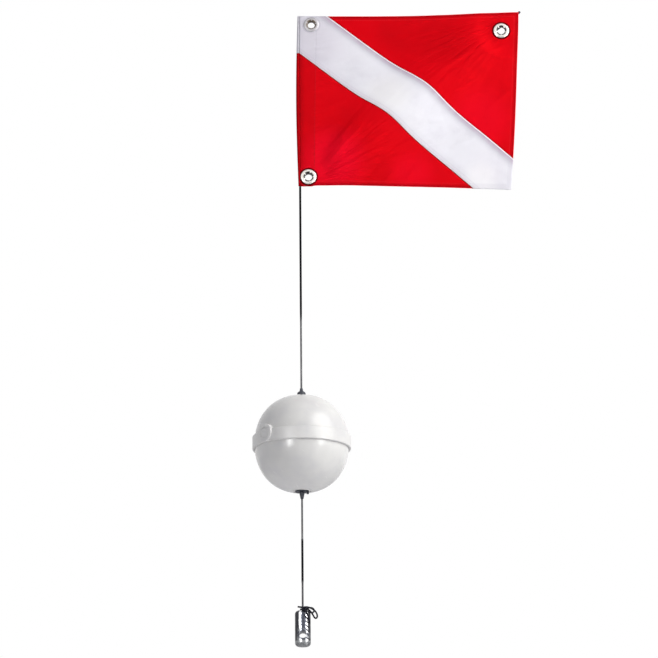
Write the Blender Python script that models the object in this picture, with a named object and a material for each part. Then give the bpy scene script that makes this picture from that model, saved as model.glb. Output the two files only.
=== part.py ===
"""Dive flag float: a ball float on a weighted wire mast, with a swivelling flag.

Metres, +Z up the mast. The origin is the middle of the ball, on the mast's axis.
The flag flies towards +X and is seen from -Y.
"""

import math

import bmesh
import bpy
from mathutils import Matrix, Vector

for old in list(bpy.data.objects):
    bpy.data.objects.remove(old, do_unlink=True)

# Clearances that the whole part shares
seat_gap = 0.0003
running_gap = 0.0004
cut_overrun = 0.004
merge_distance = 0.000002

# Float ball: two deep bowls that lap under a band round the middle
belt_radius = 0.0790
float_half_height = 0.0825
shoulder_power = 2.2
shell_wall = 0.0025
band_proud = 0.0037
band_top = 0.0116
band_foot = -0.0098
band_edge = 0.0008
lap_height = 0.0060
neck_radius = 0.0080
neck_height = 0.0012
recess_radius = 0.0150
recess_depth = 0.0022
recess_floor_wall = 0.0026
recess_lip_width = 0.0016
recess_lip_height = 0.0007
recess_lip_slope = 0.0005
tube_wall = 0.0014

# Round boss on the band, at the left of the front, and the plug in it
boss_radius = 0.0154
boss_proud = 0.0030
boss_edge = 0.0012
boss_lift = 0.0056
boss_turn = math.radians(46.5)
boss_root_depth = 0.0080
plug_radius = 0.0088
plug_depth = 0.0022
plug_edge = 0.0006
plug_sink = 0.0003

# Mast wire
mast_diameter = 0.0032
mast_length = 1.0670
mast_dome = 0.0010

# Stops that grip the wire above and below the ball
cone_radius = 0.0073
cone_waist_radius = 0.0031
cone_tip_radius = 0.0024
cone_skirt = 0.0024
cone_height = 0.0078
cone_neck = 0.0044
washer_radius = 0.0115
washer_thickness = 0.0018
washer_edge = 0.0004
ear_length = 0.0038
ear_width = 0.0044
ear_drop = 0.0036
ear_edge = 0.0007
hub_radius = 0.0041
hub_tip_radius = 0.0025
hub_drum = 0.0034
hub_taper = 0.0080

# Weight on the foot of the wire
weight_radius = 0.0130
weight_height = 0.0597
weight_round = 0.0060
weight_hole_radius = 0.0060
weight_hole_lift = 0.0183
weight_socket = 0.0252

# Cord tied round the wire, on top of the weight
cord_diameter = 0.0028
cord_turns = 1
cord_turn_gap = 0.0008

# Flag cloth, flat as it is sewn
flag_hoist = 0.3115
flag_fly = 0.3720
cloth_thickness = 0.0006
stripe_width = 0.0836
stripe_drop = 0.0154
sleeve_head_width = 0.0294
sleeve_heel_width = 0.0240
sleeve_seam = 0.0024
sleeve_allowance = 0.0040
sleeve_close = 0.0085
fold_reach = 0.0024
fold_belly = 0.0032

# How the tight rod pulls the cloth out of its flat shape
peak_out = 0.0089
peak_rise = 0.0026
clew_in = 0.0098
clew_drop = 0.0107
head_sag = 0.0030
foot_lift = 0.0018
fly_bow = 0.0026
pull_reach = 0.0055
pull_width = 0.0465
pull_turn_share = 0.87
ridge_depth = 0.0146
ridge_width = 0.0552
crease_depth = 0.0018
crease_reach = 0.1100
crease_spread = math.radians(30)
crease_count = 9
hoist_fade = 0.0420
eyelet_flat = 0.0210
eyelet_fade = 0.0300

# Eyelets in three corners, each set into a washer on the back
eyelet_radius = 0.0136
eyelet_hole_radius = 0.0063
eyelet_barrel_wall = 0.0007
eyelet_crown = 0.0016
eyelet_rim = 0.0006
eyelet_lip_width = 0.0016
eyelet_lip = 0.0005
eyelet_washer_radius = 0.0132
eyelet_washer_thickness = 0.0007
head_eyelet_in = 0.0210
head_eyelet_down = 0.0163
heel_eyelet_in = 0.0145
heel_eyelet_up = 0.0158
peak_eyelet_in = 0.0309
peak_eyelet_down = 0.0344

# Stiffener rod behind the cloth and what holds its ends
rod_diameter = 0.0024
rod_clearance = 0.0016
rod_start = 0.0600
rod_step_reach = 0.0550
rod_past_peak = 0.0030
cap_wall = 0.0006
cap_length = 0.0090
heel_pocket_start = 0.0480
heel_pocket_length = 0.0340
peak_pocket_start = 0.0100
peak_pocket_length = 0.0200
pocket_half_width = 0.0125
pocket_corner_share = 0.62
pocket_clearance = 0.0005

# Height of the flag's foot over the middle of the ball
flag_foot = 0.4555

# How finely the round and soft pieces are divided
shell_sides = 36
small_sides = 16
bead_sides = 20
arc_steps = 4
shell_steps = 8
seam_steps = 22
stripe_rows = 3
sleeve_fold_steps = 8
rod_steps = 26
pocket_steps = 7

# Sizes that follow from the ones above
mast_radius = mast_diameter / 2
bore_radius = mast_radius + seat_gap
tube_radius = mast_radius + running_gap + tube_wall
shell_hole_radius = tube_radius + seat_gap
band_radius = belt_radius + band_proud
skirt_radius = belt_radius + seat_gap
neck_top = float_half_height + neck_height
recess_floor = float_half_height - recess_depth
flag_head = flag_foot + flag_hoist
mast_top = flag_head - sleeve_close - seat_gap
mast_foot = mast_top - mast_length
weight_foot = mast_foot - seat_gap - (weight_height - weight_socket - seat_gap) + seat_gap
weight_top = weight_foot + weight_height
cloth_y = -(mast_radius + running_gap + cloth_thickness / 2)
sleeve_depth = 2 * abs(cloth_y)
layer_step = cloth_thickness + seat_gap
barrel_radius = eyelet_hole_radius + eyelet_barrel_wall
cloth_hole_radius = barrel_radius + seat_gap
rod_radius = rod_diameter / 2
cap_radius = rod_radius + seat_gap + cap_wall
cord_radius = cord_diameter / 2

peak = Vector((flag_fly + peak_out, flag_hoist + peak_rise))
clew = Vector((flag_fly - clew_in, -clew_drop))
head = Vector((0, flag_hoist))
rod_way = peak.normalized()
rod_span = peak.length
rod_side = Vector((-rod_way.y, rod_way.x))


def smooth_step(value):
    """0 up to 0, 1 from 1, and an even S between."""
    held = min(1, max(0, value))
    return held * held * (3 - 2 * held)


def finish(name, colour, roughness, metallic=0):
    """One plain material."""
    made = bpy.data.materials.new(name)
    made.use_nodes = True
    shader = made.node_tree.nodes["Principled BSDF"]
    shader.inputs["Base Color"].default_value = (*colour, 1)
    shader.inputs["Roughness"].default_value = roughness
    shader.inputs["Metallic"].default_value = metallic
    return made


finishes = {
    "shell": finish("float white", (0.80, 0.80, 0.78), 0.42),
    "tube": finish("tube grey", (0.55, 0.56, 0.57), 0.5),
    "rubber": finish("stop rubber", (0.03, 0.035, 0.05), 0.55),
    "wire": finish("mast steel", (0.30, 0.30, 0.31), 0.35, 1),
    "weight": finish("weight zinc", (0.52, 0.53, 0.54), 0.38, 1),
    "cord": finish("cord black", (0.02, 0.02, 0.025), 0.85),
    "red": finish("flag red", (0.72, 0.01, 0.03), 0.6),
    "white": finish("flag white", (0.78, 0.76, 0.82), 0.6),
    "eyelet": finish("eyelet nickel", (0.70, 0.68, 0.64), 0.28, 1),
    "rod": finish("rod grey", (0.10, 0.10, 0.11), 0.4),
}


def group(name):
    """An empty on the mast's axis that a moving group hangs on."""
    made = bpy.data.objects.new(name, None)
    bpy.context.scene.collection.objects.link(made)
    return made


float_group = group("float_group")
stops_group = group("stops_group")
mast_group = group("mast_group")
flag_group = group("flag_group")


def add(name, data, finish_name, parent):
    """Links a piece into the scene under its group."""
    data.materials.append(finishes[finish_name])
    made = bpy.data.objects.new(name, data)
    bpy.context.scene.collection.objects.link(made)
    made.parent = parent
    return made


def to_mesh(bm, name, sharp=math.radians(35)):
    """Closes a bmesh into a smooth-shaded mesh with its faces outward."""
    bmesh.ops.remove_doubles(bm, verts=bm.verts, dist=merge_distance)
    bmesh.ops.dissolve_degenerate(bm, dist=merge_distance, edges=bm.edges)
    bmesh.ops.recalc_face_normals(bm, faces=bm.faces)
    mesh = bpy.data.meshes.new(name)
    bm.to_mesh(mesh)
    bm.free()
    mesh.shade_smooth()
    mesh.set_sharp_from_angle(angle=sharp)
    return mesh


def turned(name, profile, sides):
    """Spins a profile of (radius, height) round Z; one that starts and ends on the axis is left open there."""
    bm = bmesh.new()
    points = [bm.verts.new((radius, 0, height)) for radius, height in profile]
    edges = [bm.edges.new(pair) for pair in zip(points, points[1:])]
    if profile[0][0] > 0 or profile[-1][0] > 0:
        edges.append(bm.edges.new((points[-1], points[0])))
    bmesh.ops.spin(
        bm,
        geom=points + edges,
        cent=(0, 0, 0),
        axis=(0, 0, 1),
        angle=math.tau,
        steps=sides,
        use_merge=True,
    )
    return to_mesh(bm, name)


def arc(centre, radius, start, end, steps=arc_steps):
    """Points (radius, height) on a round corner, from one angle to another."""
    turns = [math.radians(start + (end - start) * i / steps) for i in range(steps + 1)]
    return [(centre[0] + radius * math.cos(a), centre[1] + radius * math.sin(a)) for a in turns]


def boolean(target, cutter, operation="DIFFERENCE"):
    """Adds an exact Boolean and hides its tool."""
    made = target.modifiers.new(cutter.name, "BOOLEAN")
    made.operation = operation
    made.object = cutter
    made.solver = "EXACT"
    cutter.hide_render = True
    cutter.display_type = "WIRE"


def rod_tool(name, radius, start, end, parent, sides=small_sides):
    """A round cutter between two points."""
    bm = bmesh.new()
    span = end - start
    bmesh.ops.create_cone(
        bm, cap_ends=True, segments=sides, radius1=radius, radius2=radius, depth=span.length
    )
    turn = Vector((0, 0, 1)).rotation_difference(span.normalized()).to_matrix().to_4x4()
    bmesh.ops.transform(bm, matrix=Matrix.Translation((start + end) / 2) @ turn, verts=bm.verts)
    return add(name, to_mesh(bm, name), "tube", parent)


def bowl(radius, half_height, start_height, end_radius):
    """Points (radius, height) down a full-shouldered bowl, from a small radius to a low height."""
    power = shoulder_power
    top = math.acos((end_radius / radius) ** (power / 2))
    low = math.asin((start_height / half_height) ** (power / 2))
    turns = [top + (low - top) * i / shell_steps for i in range(shell_steps + 1)]
    return [
        (radius * math.cos(a) ** (2 / power), half_height * math.sin(a) ** (2 / power))
        for a in turns
    ]


# Float ball


def make_float():
    inner_belt = belt_radius - shell_wall
    inner_half = float_half_height - shell_wall
    outside = bowl(belt_radius, float_half_height, band_top, neck_radius)
    inside = bowl(inner_belt, inner_half, lap_height, shell_hole_radius)
    upper = (
        [(shell_hole_radius, neck_top), (neck_radius, neck_top)]
        + outside
        + [
            (band_radius - band_edge, band_top),
            (band_radius, band_top - band_edge),
            (band_radius, band_foot + band_edge),
            (band_radius - band_edge, band_foot),
            (skirt_radius, band_foot),
            (skirt_radius, lap_height),
        ]
        + inside[::-1]
    )
    upper_shell = add(
        "float_upper_shell", turned("float_upper_shell", upper, shell_sides), "shell", float_group
    )
    make_boss(upper_shell)

    lip_out = recess_radius + recess_lip_width
    lip_foot = lip_out + recess_lip_slope
    seat_boss = lip_foot + shell_wall
    outside = bowl(belt_radius, float_half_height, -band_foot, lip_foot)
    inside = bowl(inner_belt, inner_half, -band_foot, seat_boss)
    lip_top = outside[0][1] + recess_lip_height
    floor_inside = recess_floor - recess_floor_wall
    lower = (
        [
            (shell_hole_radius, -recess_floor),
            (recess_radius, -recess_floor),
            (recess_radius + recess_lip_slope, -lip_top),
            (lip_out, -lip_top),
        ]
        + [(radius, -height) for radius, height in outside]
        + [
            (belt_radius, band_foot),
            (belt_radius, lap_height - seat_gap),
            (inner_belt, lap_height - seat_gap),
        ]
        + [(radius, -height) for radius, height in inside[::-1]]
        + [(seat_boss, -floor_inside), (shell_hole_radius, -floor_inside)]
    )
    add("float_lower_shell", turned("float_lower_shell", lower, shell_sides), "shell", float_group)

    tube_inner = mast_radius + running_gap
    tube = [
        (tube_inner, neck_top),
        (tube_radius, neck_top),
        (tube_radius, -recess_floor),
        (tube_inner, -recess_floor),
    ]
    add("float_center_tube", turned("float_center_tube", tube, small_sides), "tube", float_group)


def make_boss(shell):
    """The round boss on the band, cut back to clear the lower bowl's rim, and its plug."""
    out = Vector((-math.sin(boss_turn), -math.cos(boss_turn), 0))
    up = Vector((0, 0, 1))
    facing = Matrix((up.cross(out), up, out)).transposed().to_4x4()
    root = belt_radius - boss_root_depth
    face = band_radius + boss_proud - root
    recess = face - plug_depth - seat_gap
    corner = boss_radius - boss_edge
    block = [(0, 0), (boss_radius, 0)] + arc((corner, face - boss_edge), boss_edge, 0, 90, 2)
    block += [(plug_radius + seat_gap, face), (plug_radius + seat_gap, recess), (0, recess)]
    data = turned("boss_block", block, shell_sides)
    data.transform(Matrix.Translation(out * root + up * boss_lift) @ facing)
    boss = add("boss_block", data, "shell", float_group)

    wall_middle = belt_radius - shell_wall / 2
    half_middle = float_half_height - shell_wall / 2
    clear = (
        [(0, -float_half_height), (skirt_radius, -float_half_height), (skirt_radius, lap_height)]
        + bowl(wall_middle, half_middle, lap_height, neck_radius)[::-1]
        + [(0, half_middle)]
    )
    inside = add("boss_clear", turned("boss_clear", clear, shell_sides * 2), "shell", float_group)
    boolean(boss, inside)
    boolean(shell, boss, "UNION")

    plug_face = face - plug_sink
    plug = [(0, recess + seat_gap), (plug_radius, recess + seat_gap)]
    plug += [(plug_radius, plug_face - plug_edge), (plug_radius - plug_edge, plug_face)]
    plug += [(0, plug_face)]
    data = turned("float_fill_plug", plug, bead_sides)
    data.transform(Matrix.Translation(out * root + up * boss_lift) @ facing)
    add("float_fill_plug", data, "shell", float_group)


# Stops on the wire


def make_stops():
    base = neck_top + seat_gap
    cone = [(bore_radius, base), (cone_radius, base), (cone_radius, base + cone_skirt / 2)]
    cone += arc(
        (cone_waist_radius, base + cone_skirt),
        cone_radius - cone_waist_radius,
        0,
        70,
    )
    cone += [
        (cone_waist_radius, base + cone_height),
        (cone_tip_radius, base + cone_height + cone_neck),
        (bore_radius, base + cone_height + cone_neck),
    ]
    add("upper_stopper", turned("upper_stopper", cone, bead_sides), "rubber", stops_group)

    top = -recess_floor - seat_gap
    foot = top - washer_thickness
    washer = [
        (bore_radius, top),
        (washer_radius - washer_edge, top),
        (washer_radius, top - washer_edge),
        (washer_radius, foot + washer_edge),
        (washer_radius - washer_edge, foot),
        (bore_radius, foot),
    ]
    lower_washer = add(
        "lower_washer", turned("lower_washer", washer, bead_sides), "rubber", stops_group
    )
    bm = bmesh.new()
    bmesh.ops.create_cube(bm, size=1)
    ear_height = ear_drop + washer_thickness / 2
    bmesh.ops.scale(bm, vec=(ear_length, ear_width, ear_height), verts=bm.verts)
    bmesh.ops.bevel(bm, geom=bm.edges[:], offset=ear_edge, segments=2, profile=0.5, affect="EDGES")
    ear_middle = Vector((washer_radius - ear_length / 2, 0, foot - ear_drop + ear_height / 2))
    bmesh.ops.translate(bm, vec=ear_middle, verts=bm.verts)
    ear = add("washer_ear", to_mesh(bm, "washer_ear"), "rubber", stops_group)
    boolean(lower_washer, ear, "UNION")

    hub_top = foot - seat_gap
    hub = [
        (bore_radius, hub_top),
        (hub_radius, hub_top),
        (hub_radius, hub_top - hub_drum),
        (hub_tip_radius, hub_top - hub_drum - hub_taper),
        (bore_radius, hub_top - hub_drum - hub_taper),
    ]
    add("lower_stopper", turned("lower_stopper", hub, small_sides), "rubber", stops_group)


# Mast and weight


def make_mast():
    shoulder = mast_radius - mast_dome
    wire = [(0, mast_foot), (mast_radius, mast_foot), (mast_radius, mast_top - mast_dome)]
    wire += arc((shoulder, mast_top - mast_dome), mast_dome, 30, 90, 2) + [(0, mast_top)]
    add("mast_wire", turned("mast_wire", wire, small_sides), "wire", mast_group)

    flat = weight_radius - weight_round
    body = [(0, weight_foot)]
    body += arc((flat, weight_foot + weight_round), weight_round, -90, 0)
    body += arc((flat, weight_top - weight_round), weight_round, 0, 90)
    body += [(0, weight_top)]
    weight = add("weight_body", turned("weight_body", body, bead_sides + 8), "weight", mast_group)
    socket_floor = Vector((0, 0, mast_foot - seat_gap))
    socket = rod_tool(
        "weight_socket",
        bore_radius,
        socket_floor,
        Vector((0, 0, weight_top + cut_overrun)),
        mast_group,
    )
    hole_height = weight_foot + weight_hole_lift
    reach = weight_radius + cut_overrun
    hole = rod_tool(
        "weight_hole",
        weight_hole_radius,
        Vector((0, -reach, hole_height)),
        Vector((0, reach, hole_height)),
        mast_group,
        bead_sides,
    )
    boolean(weight, socket)
    boolean(weight, hole)


def smooth_curve(points, step):
    """Points about one step apart on a smooth curve through the given ones."""
    found = []
    ends = [2 * points[0] - points[1]] + points + [2 * points[-1] - points[-2]]
    for before, start, end, after in zip(ends, ends[1:], ends[2:], ends[3:]):
        count = max(1, round((end - start).length / step))
        for i in range(count):
            t = i / count
            found.append(
                0.5
                * (
                    2 * start
                    + (end - before) * t
                    + (2 * before - 5 * start + 4 * end - after) * t**2
                    + (3 * start - before - 3 * end + after) * t**3
                )
            )
    return found + [points[-1]]


def tube_along(name, points, radius, finish_name, parent, resolution):
    """A round bar along points, with filled ends."""
    curve = bpy.data.curves.new(name, "CURVE")
    curve.dimensions = "3D"
    curve.bevel_depth = radius
    curve.bevel_resolution = resolution
    curve.use_fill_caps = True
    line = curve.splines.new("POLY")
    line.points.add(len(points) - 1)
    for spot, point in zip(line.points, points):
        spot.co = (*point, 1)
    line.use_smooth = True
    return add(name, curve, finish_name, parent)


# The cord's free end goes out to the right, turns in a bight, comes back over the turns and
# hangs down the front of the weight. Places are from the wire's axis and the weight's top.
cord_stub_route = [(-0.0082, -0.0040, 0.0062), (-0.0044, -0.0034, 0.0057)]
cord_free_route = [
    (0.0038, -0.0037, 0.0018),
    (0.0076, -0.0043, 0.0017),
    (0.0110, -0.0050, -0.0002),
    (0.0142, -0.0056, -0.0038),
    (0.0168, -0.0059, -0.0080),
    (0.0189, -0.0060, -0.0118),
    (0.0216, -0.0060, -0.0139),
    (0.0238, -0.0059, -0.0116),
    (0.0236, -0.0057, -0.0074),
    (0.0216, -0.0054, -0.0032),
    (0.0184, -0.0052, 0.0004),
    (0.0144, -0.0052, 0.0029),
    (0.0102, -0.0056, 0.0046),
    (0.0062, -0.0064, 0.0052),
    (0.0024, -0.0076, 0.0046),
    (-0.0003, -0.0095, 0.0028),
    (-0.0006, -0.0115, 0.0006),
    (0.0018, -0.0130, -0.0012),
    (0.0056, -0.0134, -0.0026),
    (0.0094, -0.0126, -0.0036),
    (0.0128, -0.0112, -0.0048),
    (0.0158, -0.0100, -0.0052),
    (0.0182, -0.0094, -0.0032),
    (0.0184, -0.0093, 0.0003),
    (0.0160, -0.0095, 0.0026),
    (0.0122, -0.0099, 0.0032),
    (0.0086, -0.0108, 0.0026),
    (0.0060, -0.0127, 0.0021),
    (0.0046, -0.0152, 0.0006),
    (0.0048, -0.0170, -0.0026),
    (0.0060, -0.0170, -0.0062),
    (0.0078, -0.0156, -0.0096),
    (0.0093, -0.0136, -0.0130),
    (0.0106, -0.0110, -0.0166),
    (0.0112, -0.0101, -0.0206),
    (0.0110, -0.0102, -0.0232),
]


def make_cord():
    turn_radius = mast_radius + seat_gap + cord_radius
    pitch = cord_diameter + cord_turn_gap
    lowest = weight_top + seat_gap + cord_radius
    steps = 12 * cord_turns
    turns = []
    for i in range(steps + 1):
        angle = math.radians(-90) + math.tau * cord_turns * i / steps
        height = lowest + pitch * cord_turns * (1 - i / steps)
        turns.append(
            Vector((turn_radius * math.cos(angle), turn_radius * math.sin(angle), height))
        )
    from_top = Vector((0, 0, weight_top))
    stub = [Vector(place) + from_top for place in cord_stub_route]
    free = [Vector(place) + from_top for place in cord_free_route]
    route = stub + turns[:1]
    line = smooth_curve(route, 2 * cord_diameter)[:-1] + turns[:-1]
    line += smooth_curve(turns[-1:] + free, cord_diameter)
    tube_along("tie_cord", line, cord_radius, "cord", mast_group, 2)
    gap = least_gap(line, 4 * cord_diameter) - cord_diameter
    print(f"tie_cord: least gap to itself {gap * 1000:.2f} mm, {len(line)} points")


def least_gap(line, apart):
    """The least distance between two places on a line that lie some way apart along it."""
    reached = [0]
    for start, end in zip(line, line[1:]):
        reached.append(reached[-1] + (end - start).length)
    return min(
        (line[i] - line[j]).length
        for i in range(len(line))
        for j in range(i)
        if reached[i] - reached[j] > apart
    )


# Flag


head_eyelet = Vector((head_eyelet_in, flag_head - head_eyelet_down))
heel_eyelet = Vector((heel_eyelet_in, flag_foot + heel_eyelet_up))


def spread_place(x, z):
    """Where the tight rod takes a place of the flat cloth, across and up from the heel."""
    across = x / flag_fly
    up = z / flag_hoist
    place = clew * across * (1 - up) + head * (1 - across) * up + peak * across * up
    bow = math.sin(math.pi * min(1, max(0, across)))
    place.y += bow * (foot_lift * (1 - up) ** 2 - head_sag * up * up)
    place.x += fly_bow * math.sin(math.pi * min(1, max(0, up))) * across * across
    along = min(1, max(0, place.dot(rod_way) / rod_span))
    aside = place.dot(rod_side)
    pull = pull_reach * math.sin(math.pi * pull_turn_share * along)
    pull *= math.exp(-((aside / pull_width) ** 2)) * smooth_step(x / hoist_fade)
    return place + rod_way * pull


peak_corner = spread_place(flag_fly, flag_hoist)
peak_eyelet = peak_corner + Vector((-peak_eyelet_in, flag_foot - peak_eyelet_down))
eyelet_places = [head_eyelet, heel_eyelet, peak_eyelet]
eyelet_corners = ["head", "heel", "peak"]


def crease(place, corner, heading):
    """Shallow creases that fan out of one end of the rod."""
    spoke = place - corner
    reach = spoke.length / crease_reach
    if reach < 1e-6:
        return 0
    turn = math.atan2(spoke.y, spoke.x) - heading
    turn = (turn + math.pi) % math.tau - math.pi
    fan = math.exp(-((turn / crease_spread) ** 2))
    return crease_depth * math.sin(crease_count * turn) * reach * math.exp(1 - reach) * fan


def cloth_rise(place):
    """How far the cloth stands forward of its plane at a place across and up from the heel."""
    along = min(1, max(0, place.dot(rod_way) / rod_span))
    aside = place.dot(rod_side)
    rise = ridge_depth * math.sin(math.pi * along) * math.exp(-((aside / ridge_width) ** 2))
    heading = math.atan2(rod_way.y, rod_way.x)
    rise += crease(place, Vector((0, 0)), heading)
    rise += crease(place, peak_corner, heading + math.pi)
    for eyelet in eyelet_places:
        off = (place + Vector((0, flag_foot)) - eyelet).length
        rise *= smooth_step((off - eyelet_flat) / eyelet_fade)
    return rise * smooth_step((place.x - sleeve_head_width) / hoist_fade)


def cloth_point(x, z):
    """The cloth's middle surface for a place of the flat cloth."""
    place = spread_place(x, z)
    return Vector((place.x, cloth_y - cloth_rise(place), flag_foot + place.y))


def stripe_lines():
    """The two seams of the stripe on the flat cloth, each from its hoist end to its fly end."""
    slope = (flag_hoist - stripe_drop) / flag_fly
    tall = stripe_width * math.hypot(1, slope) / 2
    middle = flag_hoist - stripe_drop
    upper = [
        Vector(((middle + tall - flag_hoist) / slope, flag_hoist)),
        Vector((flag_fly, middle + tall - slope * flag_fly)),
    ]
    lower = [Vector((0, middle - tall)), Vector(((middle - tall) / slope, 0))]
    return upper, lower


def seam_points(line, side):
    """Even places along a seam, set off by half a seat gap to one side."""
    way = (line[1] - line[0]).normalized()
    off = Vector((-way.y, way.x)) * side * seat_gap / 2
    return [line[0].lerp(line[1], i / seam_steps) + off for i in range(seam_steps + 1)]


def sheet(name, rows, finish_name, point=cloth_point):
    """A cloth panel from rows of flat places; a row may be one place shorter than the last."""
    bm = bmesh.new()
    grid = [[bm.verts.new(point(*place)) for place in row] for row in rows]
    for low, high in zip(grid, grid[1:]):
        if len(low) == len(high):
            for i in range(len(low) - 1):
                bm.faces.new((low[i], low[i + 1], high[i + 1], high[i]))
            continue
        for i in range(len(high)):
            bm.faces.new((low[i], low[i + 1], high[i]))
            if i + 1 < len(high):
                bm.faces.new((low[i + 1], high[i + 1], high[i]))
    bmesh.ops.recalc_face_normals(bm, faces=bm.faces)
    mesh = bpy.data.meshes.new(name)
    bm.to_mesh(mesh)
    bm.free()
    mesh.shade_smooth()
    made = add(name, mesh, finish_name, flag_group)
    thick = made.modifiers.new("cloth", "SOLIDIFY")
    thick.thickness = cloth_thickness
    thick.offset = 0
    return made


def eyelet_cutter(name, place):
    """A round cutter through every layer at an eyelet."""
    reach = sleeve_depth + cut_overrun
    return rod_tool(
        name,
        cloth_hole_radius,
        Vector((place.x, -reach, place.y)),
        Vector((place.x, reach, place.y)),
        flag_group,
    )


def make_panels():
    upper, lower = stripe_lines()
    head_corner = Vector((0, flag_hoist))
    clew_corner = Vector((flag_fly, 0))
    fly_corner = Vector((flag_fly, flag_hoist))
    heel_corner = Vector((0, 0))

    def towards(line, corner):
        rows = []
        for k in range(seam_steps):
            share = k / seam_steps
            start = line[0].lerp(corner, share)
            end = line[-1].lerp(corner, share)
            left = seam_steps - k
            rows.append([start.lerp(end, i / left) for i in range(left + 1)])
        return rows + [[corner]]

    upper_rows = towards(seam_points(upper, 1), fly_corner)
    lower_rows = towards(seam_points(lower, -1), heel_corner)
    top = seam_points(upper, -1)
    foot = seam_points(lower, 1)
    middle = [head_corner.lerp(clew_corner, i / seam_steps) for i in range(seam_steps + 1)]
    stripe_grid = []
    for low, high in ((foot, middle), (middle, top)):
        for k in range(stripe_rows):
            share = k / stripe_rows
            stripe_grid.append([a.lerp(b, share) for a, b in zip(low, high)])
    stripe_grid.append(top)

    upper_panel = sheet("flag_upper_panel", upper_rows, "red")
    stripe_panel = sheet("flag_stripe_panel", stripe_grid, "white")
    lower_panel = sheet("flag_lower_panel", lower_rows, "red")
    cutters = [eyelet_cutter(f"eyelet_cut_{i}", place) for i, place in enumerate(eyelet_places)]
    boolean(stripe_panel, cutters[0])
    boolean(lower_panel, cutters[1])
    boolean(upper_panel, cutters[2])
    make_sleeves(lower[0].y, cutters)


def sleeve_section(z):
    """The sleeve's line at one height: round the mast's left side and back to the stitching."""
    share = z / flag_hoist
    stitched = sleeve_heel_width + (sleeve_head_width - sleeve_heel_width) * share
    closing = max(0, z - (flag_hoist - sleeve_close)) / sleeve_close
    depth = sleeve_depth + (layer_step - sleeve_depth) * closing
    reach = fold_reach + fold_belly * math.sin(math.pi * share)
    places = []
    for i in range(sleeve_fold_steps + 1):
        turn = math.pi * i / sleeve_fold_steps
        places.append((-seat_gap - reach * math.sin(turn), depth / 2 * (1 - math.cos(turn))))
    for i in range(1, 4):
        places.append(((stitched - sleeve_seam / 2) * i / 3, depth))
    places.append((stitched + sleeve_seam / 2, layer_step))
    places.append((stitched + sleeve_seam / 2 + sleeve_allowance, layer_step))
    return places


def make_sleeves(seam_height, cutters):
    def point(x, y, z):
        return Vector((x, cloth_y + y, flag_foot + z))

    def rows(low, high, count):
        heights = [low + (high - low) * i / count for i in range(count + 1)]
        return [[(x, y, z) for x, y in sleeve_section(z)] for z in heights]

    closing = flag_hoist - sleeve_close
    white_rows = rows(seam_height + seat_gap / 2, closing, 4)
    white_rows += rows(closing, flag_hoist, 2)[1:]
    white = sheet("sleeve_white", white_rows, "white", point)
    red = sheet("sleeve_red", rows(0, seam_height - seat_gap / 2, 10), "red", point)
    boolean(white, cutters[0])
    boolean(red, cutters[1])


def eyelet_mesh(name, back):
    """An eyelet with its crown towards +Z, and its barrel rolled out past a stack that deep."""
    crown_middle = (barrel_radius + eyelet_radius) / 2
    tail = -back - eyelet_lip
    profile = [
        (eyelet_radius, 0),
        (eyelet_radius, eyelet_rim),
        (crown_middle + eyelet_rim, eyelet_crown),
        (crown_middle - eyelet_rim, eyelet_crown),
        (eyelet_hole_radius + eyelet_rim / 2, eyelet_rim),
        (eyelet_hole_radius, 0),
        (eyelet_hole_radius, tail),
        (barrel_radius + eyelet_lip_width, tail),
        (barrel_radius + eyelet_lip_width, -back),
        (barrel_radius, -back),
        (barrel_radius, 0),
    ]
    return turned(name, profile, bead_sides)


def make_eyelets():
    face_forward = Matrix.Rotation(math.radians(90), 4, "X")
    stack = eyelet_washer_thickness + 3 * seat_gap + cloth_thickness
    stacks = [stack + sleeve_depth, stack + sleeve_depth, stack]
    front = cloth_y - cloth_thickness / 2 - seat_gap
    washer_hole = barrel_radius + seat_gap
    washer_profile = [
        (washer_hole, 0),
        (eyelet_washer_radius, 0),
        (eyelet_washer_radius, eyelet_washer_thickness),
        (washer_hole, eyelet_washer_thickness),
    ]
    for corner, place, deep in zip(eyelet_corners, eyelet_places, stacks):
        eyelet = eyelet_mesh(f"{corner}_eyelet", deep)
        eyelet.transform(Matrix.Translation((place.x, front, place.y)) @ face_forward)
        add(f"{corner}_eyelet", eyelet, "eyelet", flag_group)
        washer = turned(f"{corner}_washer", washer_profile, bead_sides)
        washer_back = front + deep - seat_gap
        washer.transform(Matrix.Translation((place.x, washer_back, place.y)) @ face_forward)
        add(f"{corner}_washer", washer, "eyelet", flag_group)


def rod_line(length):
    """The rod's middle at a length from the heel: behind the cloth, and behind the peak's washer."""
    spot = rod_way * length
    lift = cloth_thickness / 2 + rod_clearance + rod_radius
    step = eyelet_washer_thickness + eyelet_lip + 2 * seat_gap
    near = (length - (peak_corner.length - 2 * rod_step_reach)) / rod_step_reach
    rise = cloth_rise(rod_way * min(length, peak_corner.length))
    return Vector((spot.x, cloth_y - rise + lift + step * smooth_step(near), flag_foot + spot.y))


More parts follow.
